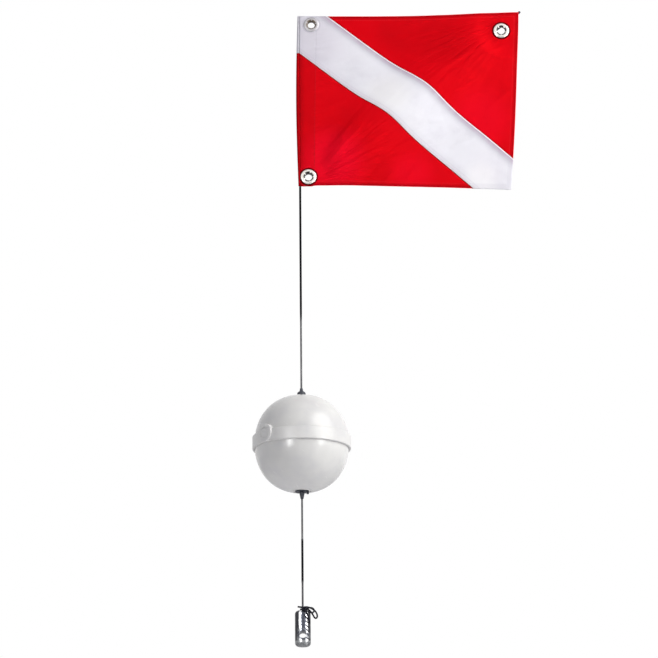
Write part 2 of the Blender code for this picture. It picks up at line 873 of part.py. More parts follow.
def make_stiffener():
    rod_end = peak_corner.length + rod_past_peak
    lengths = [rod_start + (rod_end - rod_start) * i / rod_steps for i in range(rod_steps + 1)]
    tube_along(
        "stiffener_rod", [rod_line(s) for s in lengths], rod_radius, "rod", flag_group, 2
    )
    for name, tip, inward in (("heel_rod_cap", rod_start, 1), ("peak_rod_cap", rod_end, -1)):
        closed = seat_gap + cap_wall
        mouth = -cap_length
        profile = [
            (0, closed),
            (cap_radius - cap_wall, closed),
            (cap_radius, closed - cap_wall),
            (cap_radius, mouth),
            (rod_radius + seat_gap, mouth),
            (rod_radius + seat_gap, seat_gap),
            (0, seat_gap),
        ]
        one = turned(name, profile, small_sides - 4)
        start = rod_line(tip)
        back = rod_line(tip + inward * cap_length)
        turn = Vector((0, 0, 1)).rotation_difference((start - back).normalized())
        one.transform(Matrix.Translation(start) @ turn.to_matrix().to_4x4())
        add(name, one, "rubber", flag_group)


def pocket_section(half_width, held):
    """Half of a pocket's line across the rod: how far aside, and the share of the way up to its crest."""
    side = held + pocket_clearance + cloth_thickness
    crest_shares = [(0, 1), (0.95, 0.85), (1.35, 0.42), (1.75, 0)]
    return [(side * aside, share) for aside, share in crest_shares] + [(half_width, 0)]


def make_pocket(name, panel, start, length, held, shut, half_width_at):
    """A patch sewn to the back of a panel over the rod's end, shut at its start if so told."""
    behind = Vector((0, 1, 0))
    rows = []
    for i in range(pocket_steps + 1):
        along = start + length * i / pocket_steps
        opened = smooth_step(i / 2) if shut else 1
        section = pocket_section(half_width_at(along), held)
        whole = [(-aside, share) for aside, share in section[:0:-1]] + section
        rows.append([(along, aside, share * opened) for aside, share in whole])

    def point(along, aside, share):
        place = rod_way * along + rod_side * aside
        start = Vector((place.x, sleeve_depth, flag_foot + place.y))
        met, cloth, _, _ = panel.ray_cast(start, -behind)
        against = (cloth.y if met else cloth_y - cloth_rise(place)) + cloth_thickness
        against += pocket_clearance
        crest = rod_line(along).y + held + pocket_clearance + cloth_thickness / 2
        return Vector((place.x, against + (crest - against) * share, flag_foot + place.y))

    sheet(name, rows, "red", point)


def make_pockets():
    corner = peak_corner.length
    lower_panel = bpy.data.objects["flag_lower_panel"]
    upper_panel = bpy.data.objects["flag_upper_panel"]

    def heel_half(along):
        return min(pocket_half_width, (along - heel_pocket_start) + pocket_half_width * 2 / 3)

    def peak_half(along):
        return min(pocket_half_width, (corner - along) * pocket_corner_share)

    make_pocket(
        "heel_pocket", lower_panel, heel_pocket_start, heel_pocket_length, cap_radius, True, heel_half
    )
    peak_start = corner - peak_pocket_start - peak_pocket_length
    make_pocket(
        "peak_pocket", upper_panel, peak_start, peak_pocket_length, rod_radius, False, peak_half
    )


make_float()
make_stops()
make_mast()
make_cord()
make_panels()
make_eyelets()
make_stiffener()
make_pockets()
print("dive flag float: all pieces made")
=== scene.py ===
# Dive flag float: finishes, cloth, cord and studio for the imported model.
import math
from functools import partial

import bmesh
import bpy
from mathutils import Matrix, Vector, noise


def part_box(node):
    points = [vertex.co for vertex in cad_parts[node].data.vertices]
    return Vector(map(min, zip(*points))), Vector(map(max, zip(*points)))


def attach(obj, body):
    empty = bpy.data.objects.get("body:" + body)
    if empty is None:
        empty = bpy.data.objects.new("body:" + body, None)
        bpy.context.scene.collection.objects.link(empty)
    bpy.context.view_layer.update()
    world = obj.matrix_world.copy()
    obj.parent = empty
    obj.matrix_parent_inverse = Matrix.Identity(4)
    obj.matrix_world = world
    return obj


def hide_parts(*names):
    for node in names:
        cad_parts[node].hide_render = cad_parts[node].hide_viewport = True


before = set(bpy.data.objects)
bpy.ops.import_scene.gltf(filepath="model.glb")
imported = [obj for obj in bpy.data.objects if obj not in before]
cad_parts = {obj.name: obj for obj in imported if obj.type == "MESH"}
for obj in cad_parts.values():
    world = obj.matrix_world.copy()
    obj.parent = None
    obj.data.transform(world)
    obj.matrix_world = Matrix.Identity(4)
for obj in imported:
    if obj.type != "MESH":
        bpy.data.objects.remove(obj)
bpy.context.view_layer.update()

scene = bpy.context.scene
mm = 0.001
quarterTurn = math.radians(90)


def inMm(**sizes):
    return {name: size * mm for name, size in sizes.items()}


def low(node):
    return Vector(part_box(node)[0])


def high(node):
    return Vector(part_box(node)[1])


def linked(name, data):
    made = bpy.data.objects.new(name, data)
    scene.collection.objects.link(made)
    return made


# Camera, low and far off, looking up at the ball and flag

cameraPlace = Vector((0.0474, -5.0, -1.2281))
cameraUp = math.radians(15.94)
cameraRoll = math.radians(-0.5)

cameraData = bpy.data.cameras.new("camera")
cameraData.lens = 168.0
cameraData.sensor_width = 36.0
cameraData.dof.use_dof = False
camera = linked("camera", cameraData)
camera.matrix_world = (
    Matrix.Translation(cameraPlace)
    @ Matrix.Rotation(quarterTurn + cameraUp, 4, "X")
    @ Matrix.Rotation(cameraRoll, 4, "Z")
)
scene.camera = camera
print("camera set")


# Node helpers: they all work on the nodes and the shader of the newest material


def newMaterial(name, color, roughness, metallic=0.0):
    global tree, shader
    made = bpy.data.materials.new(name)
    made.use_nodes = True
    made.diffuse_color = (*color, 1.0)
    tree = made.node_tree
    shader = tree.nodes["Principled BSDF"]
    give("Base Color", color)
    give("Roughness", roughness)
    give("Metallic", metallic)
    return made


# Links a socket, or sets a number or colour on it
def put(value, socket):
    if isinstance(value, bpy.types.NodeSocket):
        tree.links.new(value, socket)
    elif isinstance(value, tuple):
        socket.default_value = (*value, 1.0) if len(socket.default_value) > len(value) else value
    else:
        socket.default_value = value


def give(name, value):
    put(value, shader.inputs[name])


# Makes a node, with its settings and a value for each listed input
def newNode(kind, values=(), **settings):
    made = tree.nodes.new(f"ShaderNode{kind}")
    for key, setting in settings.items():
        setattr(made, key, setting)
    for key, value in dict(values).items():
        put(value, made.inputs[key])
    return made


def calc(operation, *values):
    return newNode("Math", enumerate(values), operation=operation).outputs[0]


times, plus, minus, larger, timesPlus, absolute, sine = (
    partial(calc, operation)
    for operation in ("MULTIPLY", "ADD", "SUBTRACT", "MAXIMUM", "MULTIPLY_ADD", "ABSOLUTE", "SINE")
)


def gap(value, place):
    return absolute(minus(value, place))


def distance(aside, above):
    return calc("SQRT", timesPlus(aside, aside, times(above, above)))


def smooth(value, start, end, fromValue=0.0, toValue=1.0):
    values = {"Value": value, "From Min": start, "From Max": end}
    values.update({"To Min": fromValue, "To Max": toValue})
    return newNode("MapRange", values, interpolation_type="SMOOTHSTEP").outputs[0]


# A share that grows from nothing to most between two lengths, given in mm
def fade(value, start, end, most=1.0):
    return smooth(value, start * mm, end * mm, 0.0, most)


def mixed(share, first, second):
    return newNode("Mix", {0: share, 6: first, 7: second}, data_type="RGBA").outputs[2]


# Lays colours over a tone, each by its share
def layered(tone, *layers):
    for share, color in layers:
        tone = mixed(share, tone, color)
    return tone


# Noise at a scale in turns a metre, stretched along an axis if asked
def grain(vector, scale, detail=3.0, rough=0.5, stretch=None):
    if stretch:
        vector = newNode("Mapping", {"Vector": vector, "Scale": stretch}).outputs[0]
    values = {"Vector": vector, "Scale": scale, "Detail": detail, "Roughness": rough}
    return newNode("TexNoise", values).outputs[0]


def bumped(height, distance, strength=1.0, under=None):
    values = {"Height": height, "Distance": distance, "Strength": strength}
    if under is not None:
        values["Normal"] = under
    made = newNode("Bump", values).outputs[0]
    give("Normal", made)
    return made


def objectSpot():
    return newNode("TexCoord").outputs["Object"]


def parts(vector):
    return newNode("SeparateXYZ", {0: vector}).outputs


def joined(*values):
    return newNode("CombineXYZ", enumerate(values)).outputs[0]


# Mesh helpers


def smoothStep(value):
    held = min(1.0, max(0.0, value))
    return held * held * (3 - 2 * held)


def noiseAt(x, y, seed):
    return noise.noise(Vector((x, y, seed)))


def newObject(name, data, body, finish, node=None):
    made = linked(name, data)
    data.materials.append(finish)
    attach(made, body)
    if node:
        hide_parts(node)
    return made


def smoothMesh(bm, name):
    mesh = bpy.data.meshes.new(name)
    bm.to_mesh(mesh)
    bm.free()
    mesh.shade_smooth()
    return mesh


def hardMesh(bm, name):
    bmesh.ops.remove_doubles(bm, verts=bm.verts, dist=0.001 * mm)
    bmesh.ops.recalc_face_normals(bm, faces=bm.faces)
    mesh = smoothMesh(bm, name)
    mesh.set_sharp_from_angle(angle=math.radians(35))
    return mesh


# Spins a profile of (radius, height) round Z; an open one starts and ends on the axis
def spun(name, profile, steps, body, finish, slot, node=None, closed=True):
    bm = bmesh.new()
    points = [bm.verts.new((radius, 0, height)) for radius, height in profile]
    edges = [bm.edges.new(pair) for pair in zip(points, points[1:])]
    if closed:
        edges.append(bm.edges.new((points[-1], points[0])))
    about = {"cent": (0, 0, 0), "axis": (0, 0, 1), "angle": math.tau}
    bmesh.ops.spin(bm, geom=points + edges, steps=steps, use_merge=True, **about)
    return newObject(name, hardMesh(bm, name), body, finish, node)


def addModifier(made, kind, **settings):
    modifier = made.modifiers.new(kind.lower(), kind)
    for key, setting in settings.items():
        setattr(modifier, key, setting)


def applyModifiers(made):
    bpy.context.view_layer.update()
    shaped = made.evaluated_get(bpy.context.evaluated_depsgraph_get())
    mesh = bpy.data.meshes.new_from_object(shaped)
    made.modifiers.clear()
    made.data = mesh


def arc(centre, radius, start, end, steps=8):
    turns = [math.radians(start + (end - start) * i / steps) for i in range(steps + 1)]
    return [(centre[0] + radius * math.cos(a), centre[1] + radius * math.sin(a)) for a in turns]


# A closed profile of (radius, height) with each corner rounded a little
def roundedProfile(corners, radius, steps=5):
    out = []
    for i, corner in enumerate(corners):
        corner = Vector(corner)
        before = Vector(corners[i - 1])
        after = Vector(corners[(i + 1) % len(corners)])
        cut = min(radius, (before - corner).length * 0.45, (after - corner).length * 0.45)
        start = corner + (before - corner).normalized() * cut
        end = corner + (after - corner).normalized() * cut
        for k in range(steps + 1):
            t = k / steps
            out.append(tuple((1 - t) ** 2 * start + 2 * t * (1 - t) * corner + t * t * end))
    return out


# Cord round the wire, on top of the weight

weightTop = high("weight_body").z
wireRadius = high("mast_wire").x

cord = {
    "turns": 1,
    "color": (0.008, 0.008, 0.012),
    "paler": (0.034, 0.034, 0.048),
    "strands": 8,
    **inMm(diameter=2.8, turnGap=0.8, seat=0.3, braidLength=3.4),
}
cordStubRoute = [(-0.0082, -0.0040, 0.0062), (-0.0044, -0.0034, 0.0057)]
cordFreeRoute = [
    (0.0038, -0.0037, 0.0018),
    (0.0076, -0.0043, 0.0017),
    (0.0110, -0.0050, -0.0002),
    (0.0142, -0.0056, -0.0038),
    (0.0168, -0.0059, -0.0080),
    (0.0189, -0.0060, -0.0118),
    (0.0216, -0.0060, -0.0139),
    (0.0238, -0.0059, -0.0116),
    (0.0236, -0.0057, -0.0074),
    (0.0216, -0.0054, -0.0032),
    (0.0184, -0.0052, 0.0004),
    (0.0144, -0.0052, 0.0029),
    (0.0102, -0.0056, 0.0046),
    (0.0062, -0.0064, 0.0052),
    (0.0024, -0.0076, 0.0046),
    (-0.0003, -0.0095, 0.0028),
    (-0.0006, -0.0115, 0.0006),
    (0.0018, -0.0130, -0.0012),
    (0.0056, -0.0134, -0.0026),
    (0.0094, -0.0126, -0.0036),
    (0.0128, -0.0112, -0.0048),
    (0.0158, -0.0100, -0.0052),
    (0.0182, -0.0094, -0.0032),
    (0.0184, -0.0093, 0.0003),
    (0.0160, -0.0095, 0.0026),
    (0.0122, -0.0099, 0.0032),
    (0.0086, -0.0108, 0.0026),
    (0.0060, -0.0127, 0.0021),
    (0.0046, -0.0152, 0.0006),
    (0.0048, -0.0170, -0.0026),
    (0.0060, -0.0170, -0.0062),
    (0.0078, -0.0156, -0.0096),
    (0.0093, -0.0136, -0.0130),
    (0.0106, -0.0110, -0.0166),
    (0.0112, -0.0101, -0.0206),
    (0.0110, -0.0102, -0.0232),
]


def smoothCurve(points, step):
    found = []
    ends = [2 * points[0] - points[1]] + points + [2 * points[-1] - points[-2]]
    for before, start, end, after in zip(ends, ends[1:], ends[2:], ends[3:]):
        count = max(1, round((end - start).length / step))
        for i in range(count):
            t = i / count
            square = 2 * before - 5 * start + 4 * end - after
            cube = 3 * start - before - 3 * end + after
            found.append(0.5 * (2 * start + (end - before) * t + square * t**2 + cube * t**3))
    return found + [points[-1]]


def cordLine():
    radius = cord["diameter"] / 2
    turnRadius = wireRadius + cord["seat"] + radius
    pitch = cord["diameter"] + cord["turnGap"]
    lowest = weightTop + cord["seat"] + radius
    steps = 24 * cord["turns"]
    turns = []
    for i in range(steps + 1):
        share = i / steps
        angle = math.tau * cord["turns"] * share - quarterTurn
        height = lowest + pitch * cord["turns"] * (1 - share)
        turns.append(Vector((turnRadius * math.cos(angle), turnRadius * math.sin(angle), height)))
    fromTop = Vector((0, 0, weightTop))
    stub = [Vector(place) + fromTop for place in cordStubRoute]
    free = [Vector(place) + fromTop for place in cordFreeRoute]
    line = smoothCurve(stub + turns[:1], radius)[:-1] + turns[:-1]
    return line + smoothCurve(turns[-1:] + free, radius)


route = cordLine()
cordLength = sum((b - a).length for a, b in zip(route, route[1:]))

cordFinish = newMaterial("cordBlack", cord["color"], 0.85)
give("Specular IOR Level", 0.12)
spot = parts(newNode("TexCoord").outputs["UV"])
alongCord = times(spot[0], cordLength / cord["braidLength"] * math.tau)
roundCord = times(spot[1], cord["strands"] / 2 * math.tau)
braid = larger(sine(plus(alongCord, roundCord)), sine(minus(alongCord, roundCord)))
fuzz = grain(objectSpot(), 2600, 4)
braidLight = smooth(timesPlus(fuzz, 0.8, braid), 0.5, 1.7)
give("Base Color", mixed(braidLight, cord["color"], cord["paler"]))
bumped(timesPlus(fuzz, 0.3, braid), 0.25 * mm, 0.8)

cordCurve = bpy.data.curves.new("cordLine", "CURVE")
cordCurve.dimensions = "3D"
cordCurve.bevel_depth = cord["diameter"] / 2
cordCurve.bevel_resolution = 5
cordCurve.use_fill_caps = True
cordSpline = cordCurve.splines.new("POLY")
cordSpline.points.add(len(route) - 1)
for point, place in zip(cordSpline.points, route):
    point.co = (*place, 1)
cordSpline.use_smooth = True
tieCord = newObject("tieCord", cordCurve, "mast", cordFinish, "tie_cord")
print(f"cord made, {cordLength * 1000:.0f} mm long")


# Ball float

ball = {
    "white": (0.80, 0.795, 0.775),
    "cool": (0.735, 0.73, 0.73),
    "scuffAndShade": (0.54, 0.535, 0.53),
    "worn": (0.93, 0.93, 0.92),
    "shoulder": 2.2,
    "neckTop": high("float_upper_shell").z,
    "steps": 160,
    **inMm(
        wall=2.5, floor=2.6, edge=0.9, play=0.3, beltRadius=79.0, halfHeight=82.5,
        bandTop=11.6, bandFoot=-9.8, bandRadius=82.7, bandRound=1.8, neckRadius=8.0,
        holeRadius=3.7, recessRadius=15.0, recessFloor=-80.3, lipHeight=0.7, lipWidth=1.6,
        lap=6.0,
    ),
}


# Half of the ball's rounded outline, less the wall if it is the inside
def bowl(wall, lowHeight, endRadius):
    radius = ball["beltRadius"] - wall
    halfHeight = ball["halfHeight"] - wall
    power = ball["shoulder"]
    top = math.acos((endRadius / radius) ** (power / 2))
    foot = math.asin((lowHeight / halfHeight) ** (power / 2))
    steps = 44
    turns = [top + (foot - top) * i / steps for i in range(steps + 1)]
    bend = 2 / power
    return [(radius * math.cos(a) ** bend, halfHeight * math.sin(a) ** bend) for a in turns]


shellFinish = newMaterial("floatWhite", ball["white"], 0.34)
spot = objectSpot()
axes = parts(spot)
mottle = grain(spot, 22, 3, 0.55)
speck = grain(spot, 420, 4, 0.65)
scuffs = grain(spot, 90, 6, 0.7, (1.0, 1.0, 7.0))
underBand = smooth(gap(axes[2], ball["bandFoot"]), 0.1 * mm, 1.1 * mm, 0.65, 1.0)
overBand = gap(axes[2], ball["bandTop"] + 1.0 * mm)
# A few fine scratches that run down to the right
alongScratch = minus(times(axes[0], 0.80), times(axes[2], 0.60))
acrossScratch = timesPlus(axes[0], 0.60, times(axes[2], 0.80))
scratchSpot = joined(times(alongScratch, 45.0), times(acrossScratch, 620.0), times(axes[1], 45.0))
scratches = smooth(grain(scratchSpot, 1.0, 1, 0.4), 0.735, 0.78)
tone = layered(
    ball["white"],
    (smooth(mottle, 0.38, 0.72), ball["cool"]),
    (smooth(scuffs, 0.66, 0.80, 0.0, 0.35), ball["scuffAndShade"]),
    (smooth(speck, 0.70, 0.78, 0.0, 0.30), ball["scuffAndShade"]),
    # Painted shade under the band's lip, and in the corner just over the band
    (minus(1.0, underBand), ball["scuffAndShade"]),
    (fade(overBand, 1.2, 0.3, 0.45), ball["scuffAndShade"]),
    (times(scratches, 0.7), ball["worn"]),
)
give("Base Color", tone)
aboveFoot = smooth(axes[2], ball["bandFoot"] - 0.5 * mm, ball["bandFoot"] + 0.5 * mm)
onBand = times(aboveFoot, smooth(axes[2], ball["bandTop"] + 4 * mm, ball["bandTop"]))
give("Roughness", timesPlus(onBand, 0.16, smooth(scuffs, 0.35, 0.75, 0.20, 0.28)))
give("Subsurface Weight", 0.12)
give("Subsurface Radius", (1.0, 0.95, 0.9))
give("Subsurface Scale", 2.0 * mm)
give("Specular IOR Level", 0.5)
bumped(plus(times(mottle, 0.6), times(speck, 0.02)), 0.5 * mm, 0.55)

edge = ball["edge"]
bandRound = ball["bandRound"]
lapOut = ball["beltRadius"] + ball["play"]
outer = bowl(0, ball["bandTop"], ball["neckRadius"] + edge)
profile = [(ball["holeRadius"], ball["neckTop"])]
profile += arc((ball["neckRadius"] - edge, ball["neckTop"] - edge), edge, 90, 0, 5)
profile += outer + [(outer[-1][0] + ball["play"], ball["bandTop"])]
profile += arc((ball["bandRadius"] - edge, ball["bandTop"] - edge), edge, 90, 0, 6)
foot = (ball["bandRadius"] - bandRound, ball["bandFoot"] + bandRound)
profile += arc(foot, bandRound, 0, -90, 8)
profile += [(lapOut, ball["bandFoot"]), (lapOut, ball["lap"])]
profile += bowl(ball["wall"], ball["lap"], ball["holeRadius"])[::-1]
spun("upperShell", profile, ball["steps"], "float", shellFinish, "shell", "float_upper_shell")

lipOut = ball["recessRadius"] + ball["lipWidth"]
lipHalf = ball["lipWidth"] / 2
insideEnd = lipOut + 3 * mm
rimTop = ball["lap"] - ball["play"]
outer = bowl(0, -ball["bandFoot"], lipOut + 0.5 * mm)
inner = bowl(ball["wall"], -ball["bandFoot"], insideEnd)
lipTop = -outer[0][1] - ball["lipHeight"]
corner = ball["recessRadius"] - edge
profile = [(ball["holeRadius"], ball["recessFloor"]), (corner, ball["recessFloor"])]
profile += arc((corner, ball["recessFloor"] - edge), edge, 90, 0, 5)
profile += arc((ball["recessRadius"] + lipHalf, lipTop + lipHalf), lipHalf, 180, 360, 8)
profile += [(radius, -height) for radius, height in outer]
profile += [(ball["beltRadius"], ball["bandFoot"]), (ball["beltRadius"], rimTop)]
profile += [(ball["beltRadius"] - ball["wall"], rimTop)]
profile += [(radius, -height) for radius, height in inner[::-1]]
floorInside = ball["recessFloor"] + ball["floor"]
profile += [(insideEnd, floorInside), (ball["holeRadius"], floorInside)]
spun("lowerShell", profile, ball["steps"], "float", shellFinish, "shell", "float_lower_shell")

# The round boss on the band, with the plug in it
boss = {
    "turn": math.radians(46.5),
    **inMm(
        lift=5.6, radius=15.4, face=85.7, root=79.6, inBand=3.2, plugRadius=8.8, plugDepth=2.2,
        plugRound=0.6, edge=1.6, faceFall=1.1,
    ),
}
out = Vector((-math.sin(boss["turn"]), -math.cos(boss["turn"]), 0))
up = Vector((0, 0, 1))
bossFacing = Matrix((up.cross(out), up, out)).transposed().to_4x4()
bossPlace = Matrix.Translation(out * boss["root"] + up * boss["lift"]) @ bossFacing
face = boss["face"] - boss["root"]
plugFoot = face - boss["plugDepth"]
recess = plugFoot - 0.3 * mm
plugRadius = boss["plugRadius"]
profile = [(boss["radius"], -boss["inBand"])]
rim = (boss["radius"] - boss["edge"], face - boss["faceFall"] - boss["edge"])
profile += arc(rim, boss["edge"], 0, 72, 8)
profile += [((boss["radius"] + plugRadius) / 2, face - boss["faceFall"] * 0.35)]
profile += arc((plugRadius + 0.7 * mm, face - 0.4 * mm), 0.4 * mm, 90, 180, 4)
profile += [(plugRadius + 0.3 * mm, recess), (0, recess)]
ring = spun("bossRing", profile, 96, "float", shellFinish, "shell", closed=False)
ring.data.transform(bossPlace)
rim = (plugRadius - boss["plugRound"], face - boss["plugRound"] - 0.3 * mm)
profile = [(0, plugFoot), (plugRadius, plugFoot)] + arc(rim, boss["plugRound"], 0, 90, 5)
profile += [(2.2 * mm, face - 0.25 * mm), (1.6 * mm, face - 0.45 * mm), (0, face - 0.5 * mm)]
plug = spun("fillPlug", profile, 72, "float", shellFinish, "shell", "float_fill_plug", closed=False)
plug.data.transform(bossPlace)


# Gives a solid of the frame a finish
def refinish(node, finish):
    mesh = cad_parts[node].data
    mesh.materials.clear()
    mesh.materials.append(finish)


tubeFinish = newMaterial("tubeGrey", (0.55, 0.56, 0.57), 0.5)
streak = grain(objectSpot(), 300, 4, 0.6, (1.0, 1.0, 0.02))
give("Base Color", mixed(streak, (0.46, 0.47, 0.48), (0.64, 0.65, 0.66)))
bumped(streak, 0.05 * mm)
refinish("float_center_tube", tubeFinish)
print("ball made")


# Rubber stops above and below the ball, whose bores let the coated wire slide through

rubber = {"color": (0.020, 0.024, 0.036), "worn": (0.075, 0.085, 0.115)}
rubberFinish = newMaterial("stopRubber", rubber["color"], 0.5)
dust = grain(objectSpot(), 700, 5, 0.6)
give("Base Color", mixed(smooth(dust, 0.45, 0.75), rubber["color"], rubber["worn"]))
give("Roughness", smooth(dust, 0.3, 0.7, 0.38, 0.66))
bumped(dust, 0.12 * mm, 0.6)

stop = {
    "bore": wireRadius + 0.36 * mm,
    "earSize": (3.8 * mm, 4.4 * mm),
    **inMm(coneEdge=0.4, coneWaist=3.1, washerThick=1.8, washerEdge=0.5, hubRim=3.4, hubTip=2.5),
}


def addStop(name, profile, steps, node):
    spun(name, profile, steps, "float_stops", rubberFinish, "rubber", node)


bore = stop["bore"]
foot = low("upper_stopper").z
top = high("upper_stopper").z
radius = high("upper_stopper").x
edge = stop["coneEdge"]
profile = [(bore, foot), (radius - edge, foot)]
profile += arc((radius - edge, foot + edge), edge, -90, 0, 4) + [(radius, foot + 1.2 * mm)]
profile += arc((stop["coneWaist"], foot + 2.4 * mm), radius - stop["coneWaist"], 0, 70, 12)
profile += arc((3.4 * mm, top - 4.4 * mm), 0.4 * mm, 190, 170, 2)
profile += [(2.4 * mm, top - 0.3 * mm), (2.1 * mm, top), (bore, top)]
addStop("upperStop", profile, 64, "upper_stopper")

top = high("lower_washer").z
foot = top - stop["washerThick"]
radius = high("lower_washer").x
profile = [(bore, top), (radius, top), (radius, foot), (bore, foot)]
addStop("lowerWasher", roundedProfile(profile, stop["washerEdge"]), 72, "lower_washer")
bm = bmesh.new()
bmesh.ops.create_cube(bm, size=1)
earFoot = low("lower_washer").z
earTall = top - stop["washerThick"] / 2 - earFoot
bmesh.ops.scale(bm, vec=(*stop["earSize"], earTall), verts=bm.verts)
bmesh.ops.bevel(bm, geom=bm.edges[:], offset=1.0 * mm, segments=5, profile=0.6, affect="EDGES")
earMiddle = (radius - stop["earSize"][0] / 2, 0, earFoot + earTall / 2)
bmesh.ops.translate(bm, vec=earMiddle, verts=bm.verts)
newObject("washerEar", hardMesh(bm, "washerEar"), "float_stops", rubberFinish)

top = high("lower_stopper").z
foot = low("lower_stopper").z
radius = high("lower_stopper").x
profile = [(bore, top), (radius, top), (radius, top - stop["hubRim"]), (stop["hubTip"], foot)]
profile = roundedProfile(profile + [(bore, foot)], 0.5 * mm)
addStop("lowerStop", profile, 48, "lower_stopper")
print("stops made")


# Wire mast

wire = {
    "black": (0.004, 0.004, 0.005),
    "dull": (0.012, 0.012, 0.014),
    "steel": (0.042, 0.042, 0.045),
    "bright": (0.10, 0.10, 0.104),
    "stained": (0.10, 0.09, 0.085),
    "coatFoot": 0.222,
    "coatThick": 0.28 * mm,
    "patchMiddle": -0.200,
    "patchHalf": 0.038,
    "foot": low("mast_wire").z,
    "top": high("mast_wire").z,
    "dome": 1.0 * mm,
}
wireFinish = newMaterial("mastSteel", wire["steel"], 0.38, 0.85)
spot = objectSpot()
drawn = grain(spot, 900, 4, 0.6, (1.0, 1.0, 0.03))
stain = grain(spot, 60, 4, 0.6)
# A dull black coat is left above, and in one stretch below the ball
height = timesPlus(stain, 0.03, parts(spot)[2])
fromPatch = gap(height, wire["patchMiddle"] + 0.015)
coat = larger(
    smooth(height, wire["coatFoot"], wire["coatFoot"] + 0.03),
    smooth(fromPatch, wire["patchHalf"], wire["patchHalf"] - 0.006),
)
steel = layered(
    wire["steel"],
    (smooth(drawn, 0.35, 0.7), wire["bright"]),
    (smooth(stain, 0.52, 0.68, 0.0, 0.5), wire["stained"]),
    (coat, mixed(smooth(height, 0.30, 0.40), wire["dull"], wire["black"])),
)
give("Base Color", steel)
give("Metallic", timesPlus(coat, -0.85, 0.85))
give("Specular IOR Level", 0.02)
give("Roughness", smooth(stain, 0.3, 0.7, 0.28, 0.5))
bumped(drawn, 0.03 * mm, 0.7)

edge = 0.3 * mm
dome = wire["dome"]
profile = [(0, wire["foot"])] + arc((wireRadius - edge, wire["foot"] + edge), edge, -90, 0, 3)
coatRadius = wireRadius + wire["coatThick"]
# Where the coat begins and ends, and how far its foot tapers
coatSpans = (
    (wire["patchMiddle"] - wire["patchHalf"], wire["patchMiddle"] + wire["patchHalf"], 5 * mm),
    (wire["coatFoot"] - 16 * mm, low("sleeve_red").z - 1.5 * mm, 24 * mm),
)
for foot, head, rise in coatSpans:
    profile += [(wireRadius, foot - 1 * mm), (wireRadius, foot), (coatRadius, foot + rise)]
    profile += [(coatRadius, head - 0.6 * mm), (wireRadius, head), (wireRadius, head + 1 * mm)]
profile += arc((wireRadius - dome, wire["top"] - dome), dome, 0, 90, 6) + [(0, wire["top"])]
spun("mastWire", profile, 32, "mast", wireFinish, "wire", "mast_wire", closed=False)

# Weight of bright zinc, with the dark patches and the streaks that the photograph shows; the bright
# and dark streaks are painted reflections
weight = {
    "radius": high("weight_body").x,
    "foot": low("weight_body").z,
    "zinc": (0.62, 0.63, 0.64),
    "bright": (0.95, 0.95, 0.96),
    "dark": (0.035, 0.035, 0.042),
    "grey": (0.22, 0.23, 0.235),
    "pale": (0.45, 0.46, 0.465),
    "slate": (0.075, 0.080, 0.10),
    **inMm(round=6.0, holeLift=18.3, holeRadius=6.0),
}
zincFinish = newMaterial("weightZinc", weight["zinc"], 0.3, 0.85)
give("Specular IOR Level", 0.2)
spot = objectSpot()
axes = parts(spot)
turn = calc("ARCTAN2", axes[0], times(axes[1], -1.0))
pits = grain(spot, 260, 5, 0.6)
cloudy = grain(spot, 95, 4, 0.55, (1.0, 1.0, 0.45))
shifted = timesPlus(minus(cloudy, 0.5), 0.7, turn)

# Painted reflections as streaks down the front: the middle and half width in radians, and the
# colour
streaks = (
    (-1.10, 0.66, "dark"),
    (-0.36, 0.16, "bright"),
    (0.07, 0.32, "slate"),
    (0.56, 0.20, "bright"),
    (1.18, 0.42, "dark"),
)


# A share that fades in from one height over the weight's foot to another
def footShare(start, end, share):
    return smooth(axes[2], weight["foot"] + start, weight["foot"] + end, 0.0, share)


# How near a place on the front is to one spot, a share from 0 to 1
def spotShare(x, z, start, end):
    return smooth(distance(minus(axes[0], x), minus(axes[2], weight["foot"] + z)), start, end)


tone = mixed(smooth(cloudy, 0.38, 0.60), weight["zinc"], weight["grey"])
for middle, half, color in streaks:
    tone = mixed(smooth(gap(shifted, middle), half, half * 0.65), tone, weight[color])
# Dark diagonal scrapes on the right
slant = timesPlus(turn, 2.6, times(axes[2], 300.0))
scrape = smooth(calc("PINGPONG", timesPlus(pits, 1.4, slant), 1.0), 0.44, 0.62)
onRight = times(smooth(turn, 0.28, 0.42), smooth(cloudy, 0.30, 0.38))
# Duller below the streaks and beside the hole, with painted shade round the hole and two painted
# highlights under it
dull = mixed(smooth(pits, 0.42, 0.58), weight["slate"], weight["grey"])
belowStreaks = times(footShare(31 * mm, 26 * mm, 0.8), smooth(shifted, -0.98, -0.72))
mottled = mixed(smooth(pits, 0.46, 0.60), weight["pale"], weight["grey"])
tone = layered(
    tone,
    (smooth(pits, 0.60, 0.72, 0.0, 0.8), weight["grey"]),
    (times(scrape, onRight), weight["dark"]),
    (times(belowStreaks, smooth(turn, 0.6, 0.2)), dull),
    (footShare(11 * mm, 6 * mm, 0.75), mottled),
    # Painted shade round the hole
    (times(spotShare(0.0, weight["holeLift"], 9.4 * mm, 6.8 * mm), 0.6), weight["slate"]),
    (times(spotShare(10.0 * mm, 17.5 * mm, 6.0 * mm, 3.5 * mm), 0.75), dull),
    # Two painted highlights under the hole
    (spotShare(-2.8 * mm, 8.0 * mm, 2.1 * mm, 0.9 * mm), weight["bright"]),
    (spotShare(7.4 * mm, 9.0 * mm, 2.2 * mm, 0.9 * mm), weight["bright"]),
    # Painted shade on the rounded foot
    (footShare(4 * mm, 1 * mm, 0.4), weight["grey"]),
)
give("Base Color", tone)
give("Roughness", smooth(pits, 0.3, 0.7, 0.22, 0.46))
bumped(plus(pits, cloudy), 0.5 * mm, 0.5)

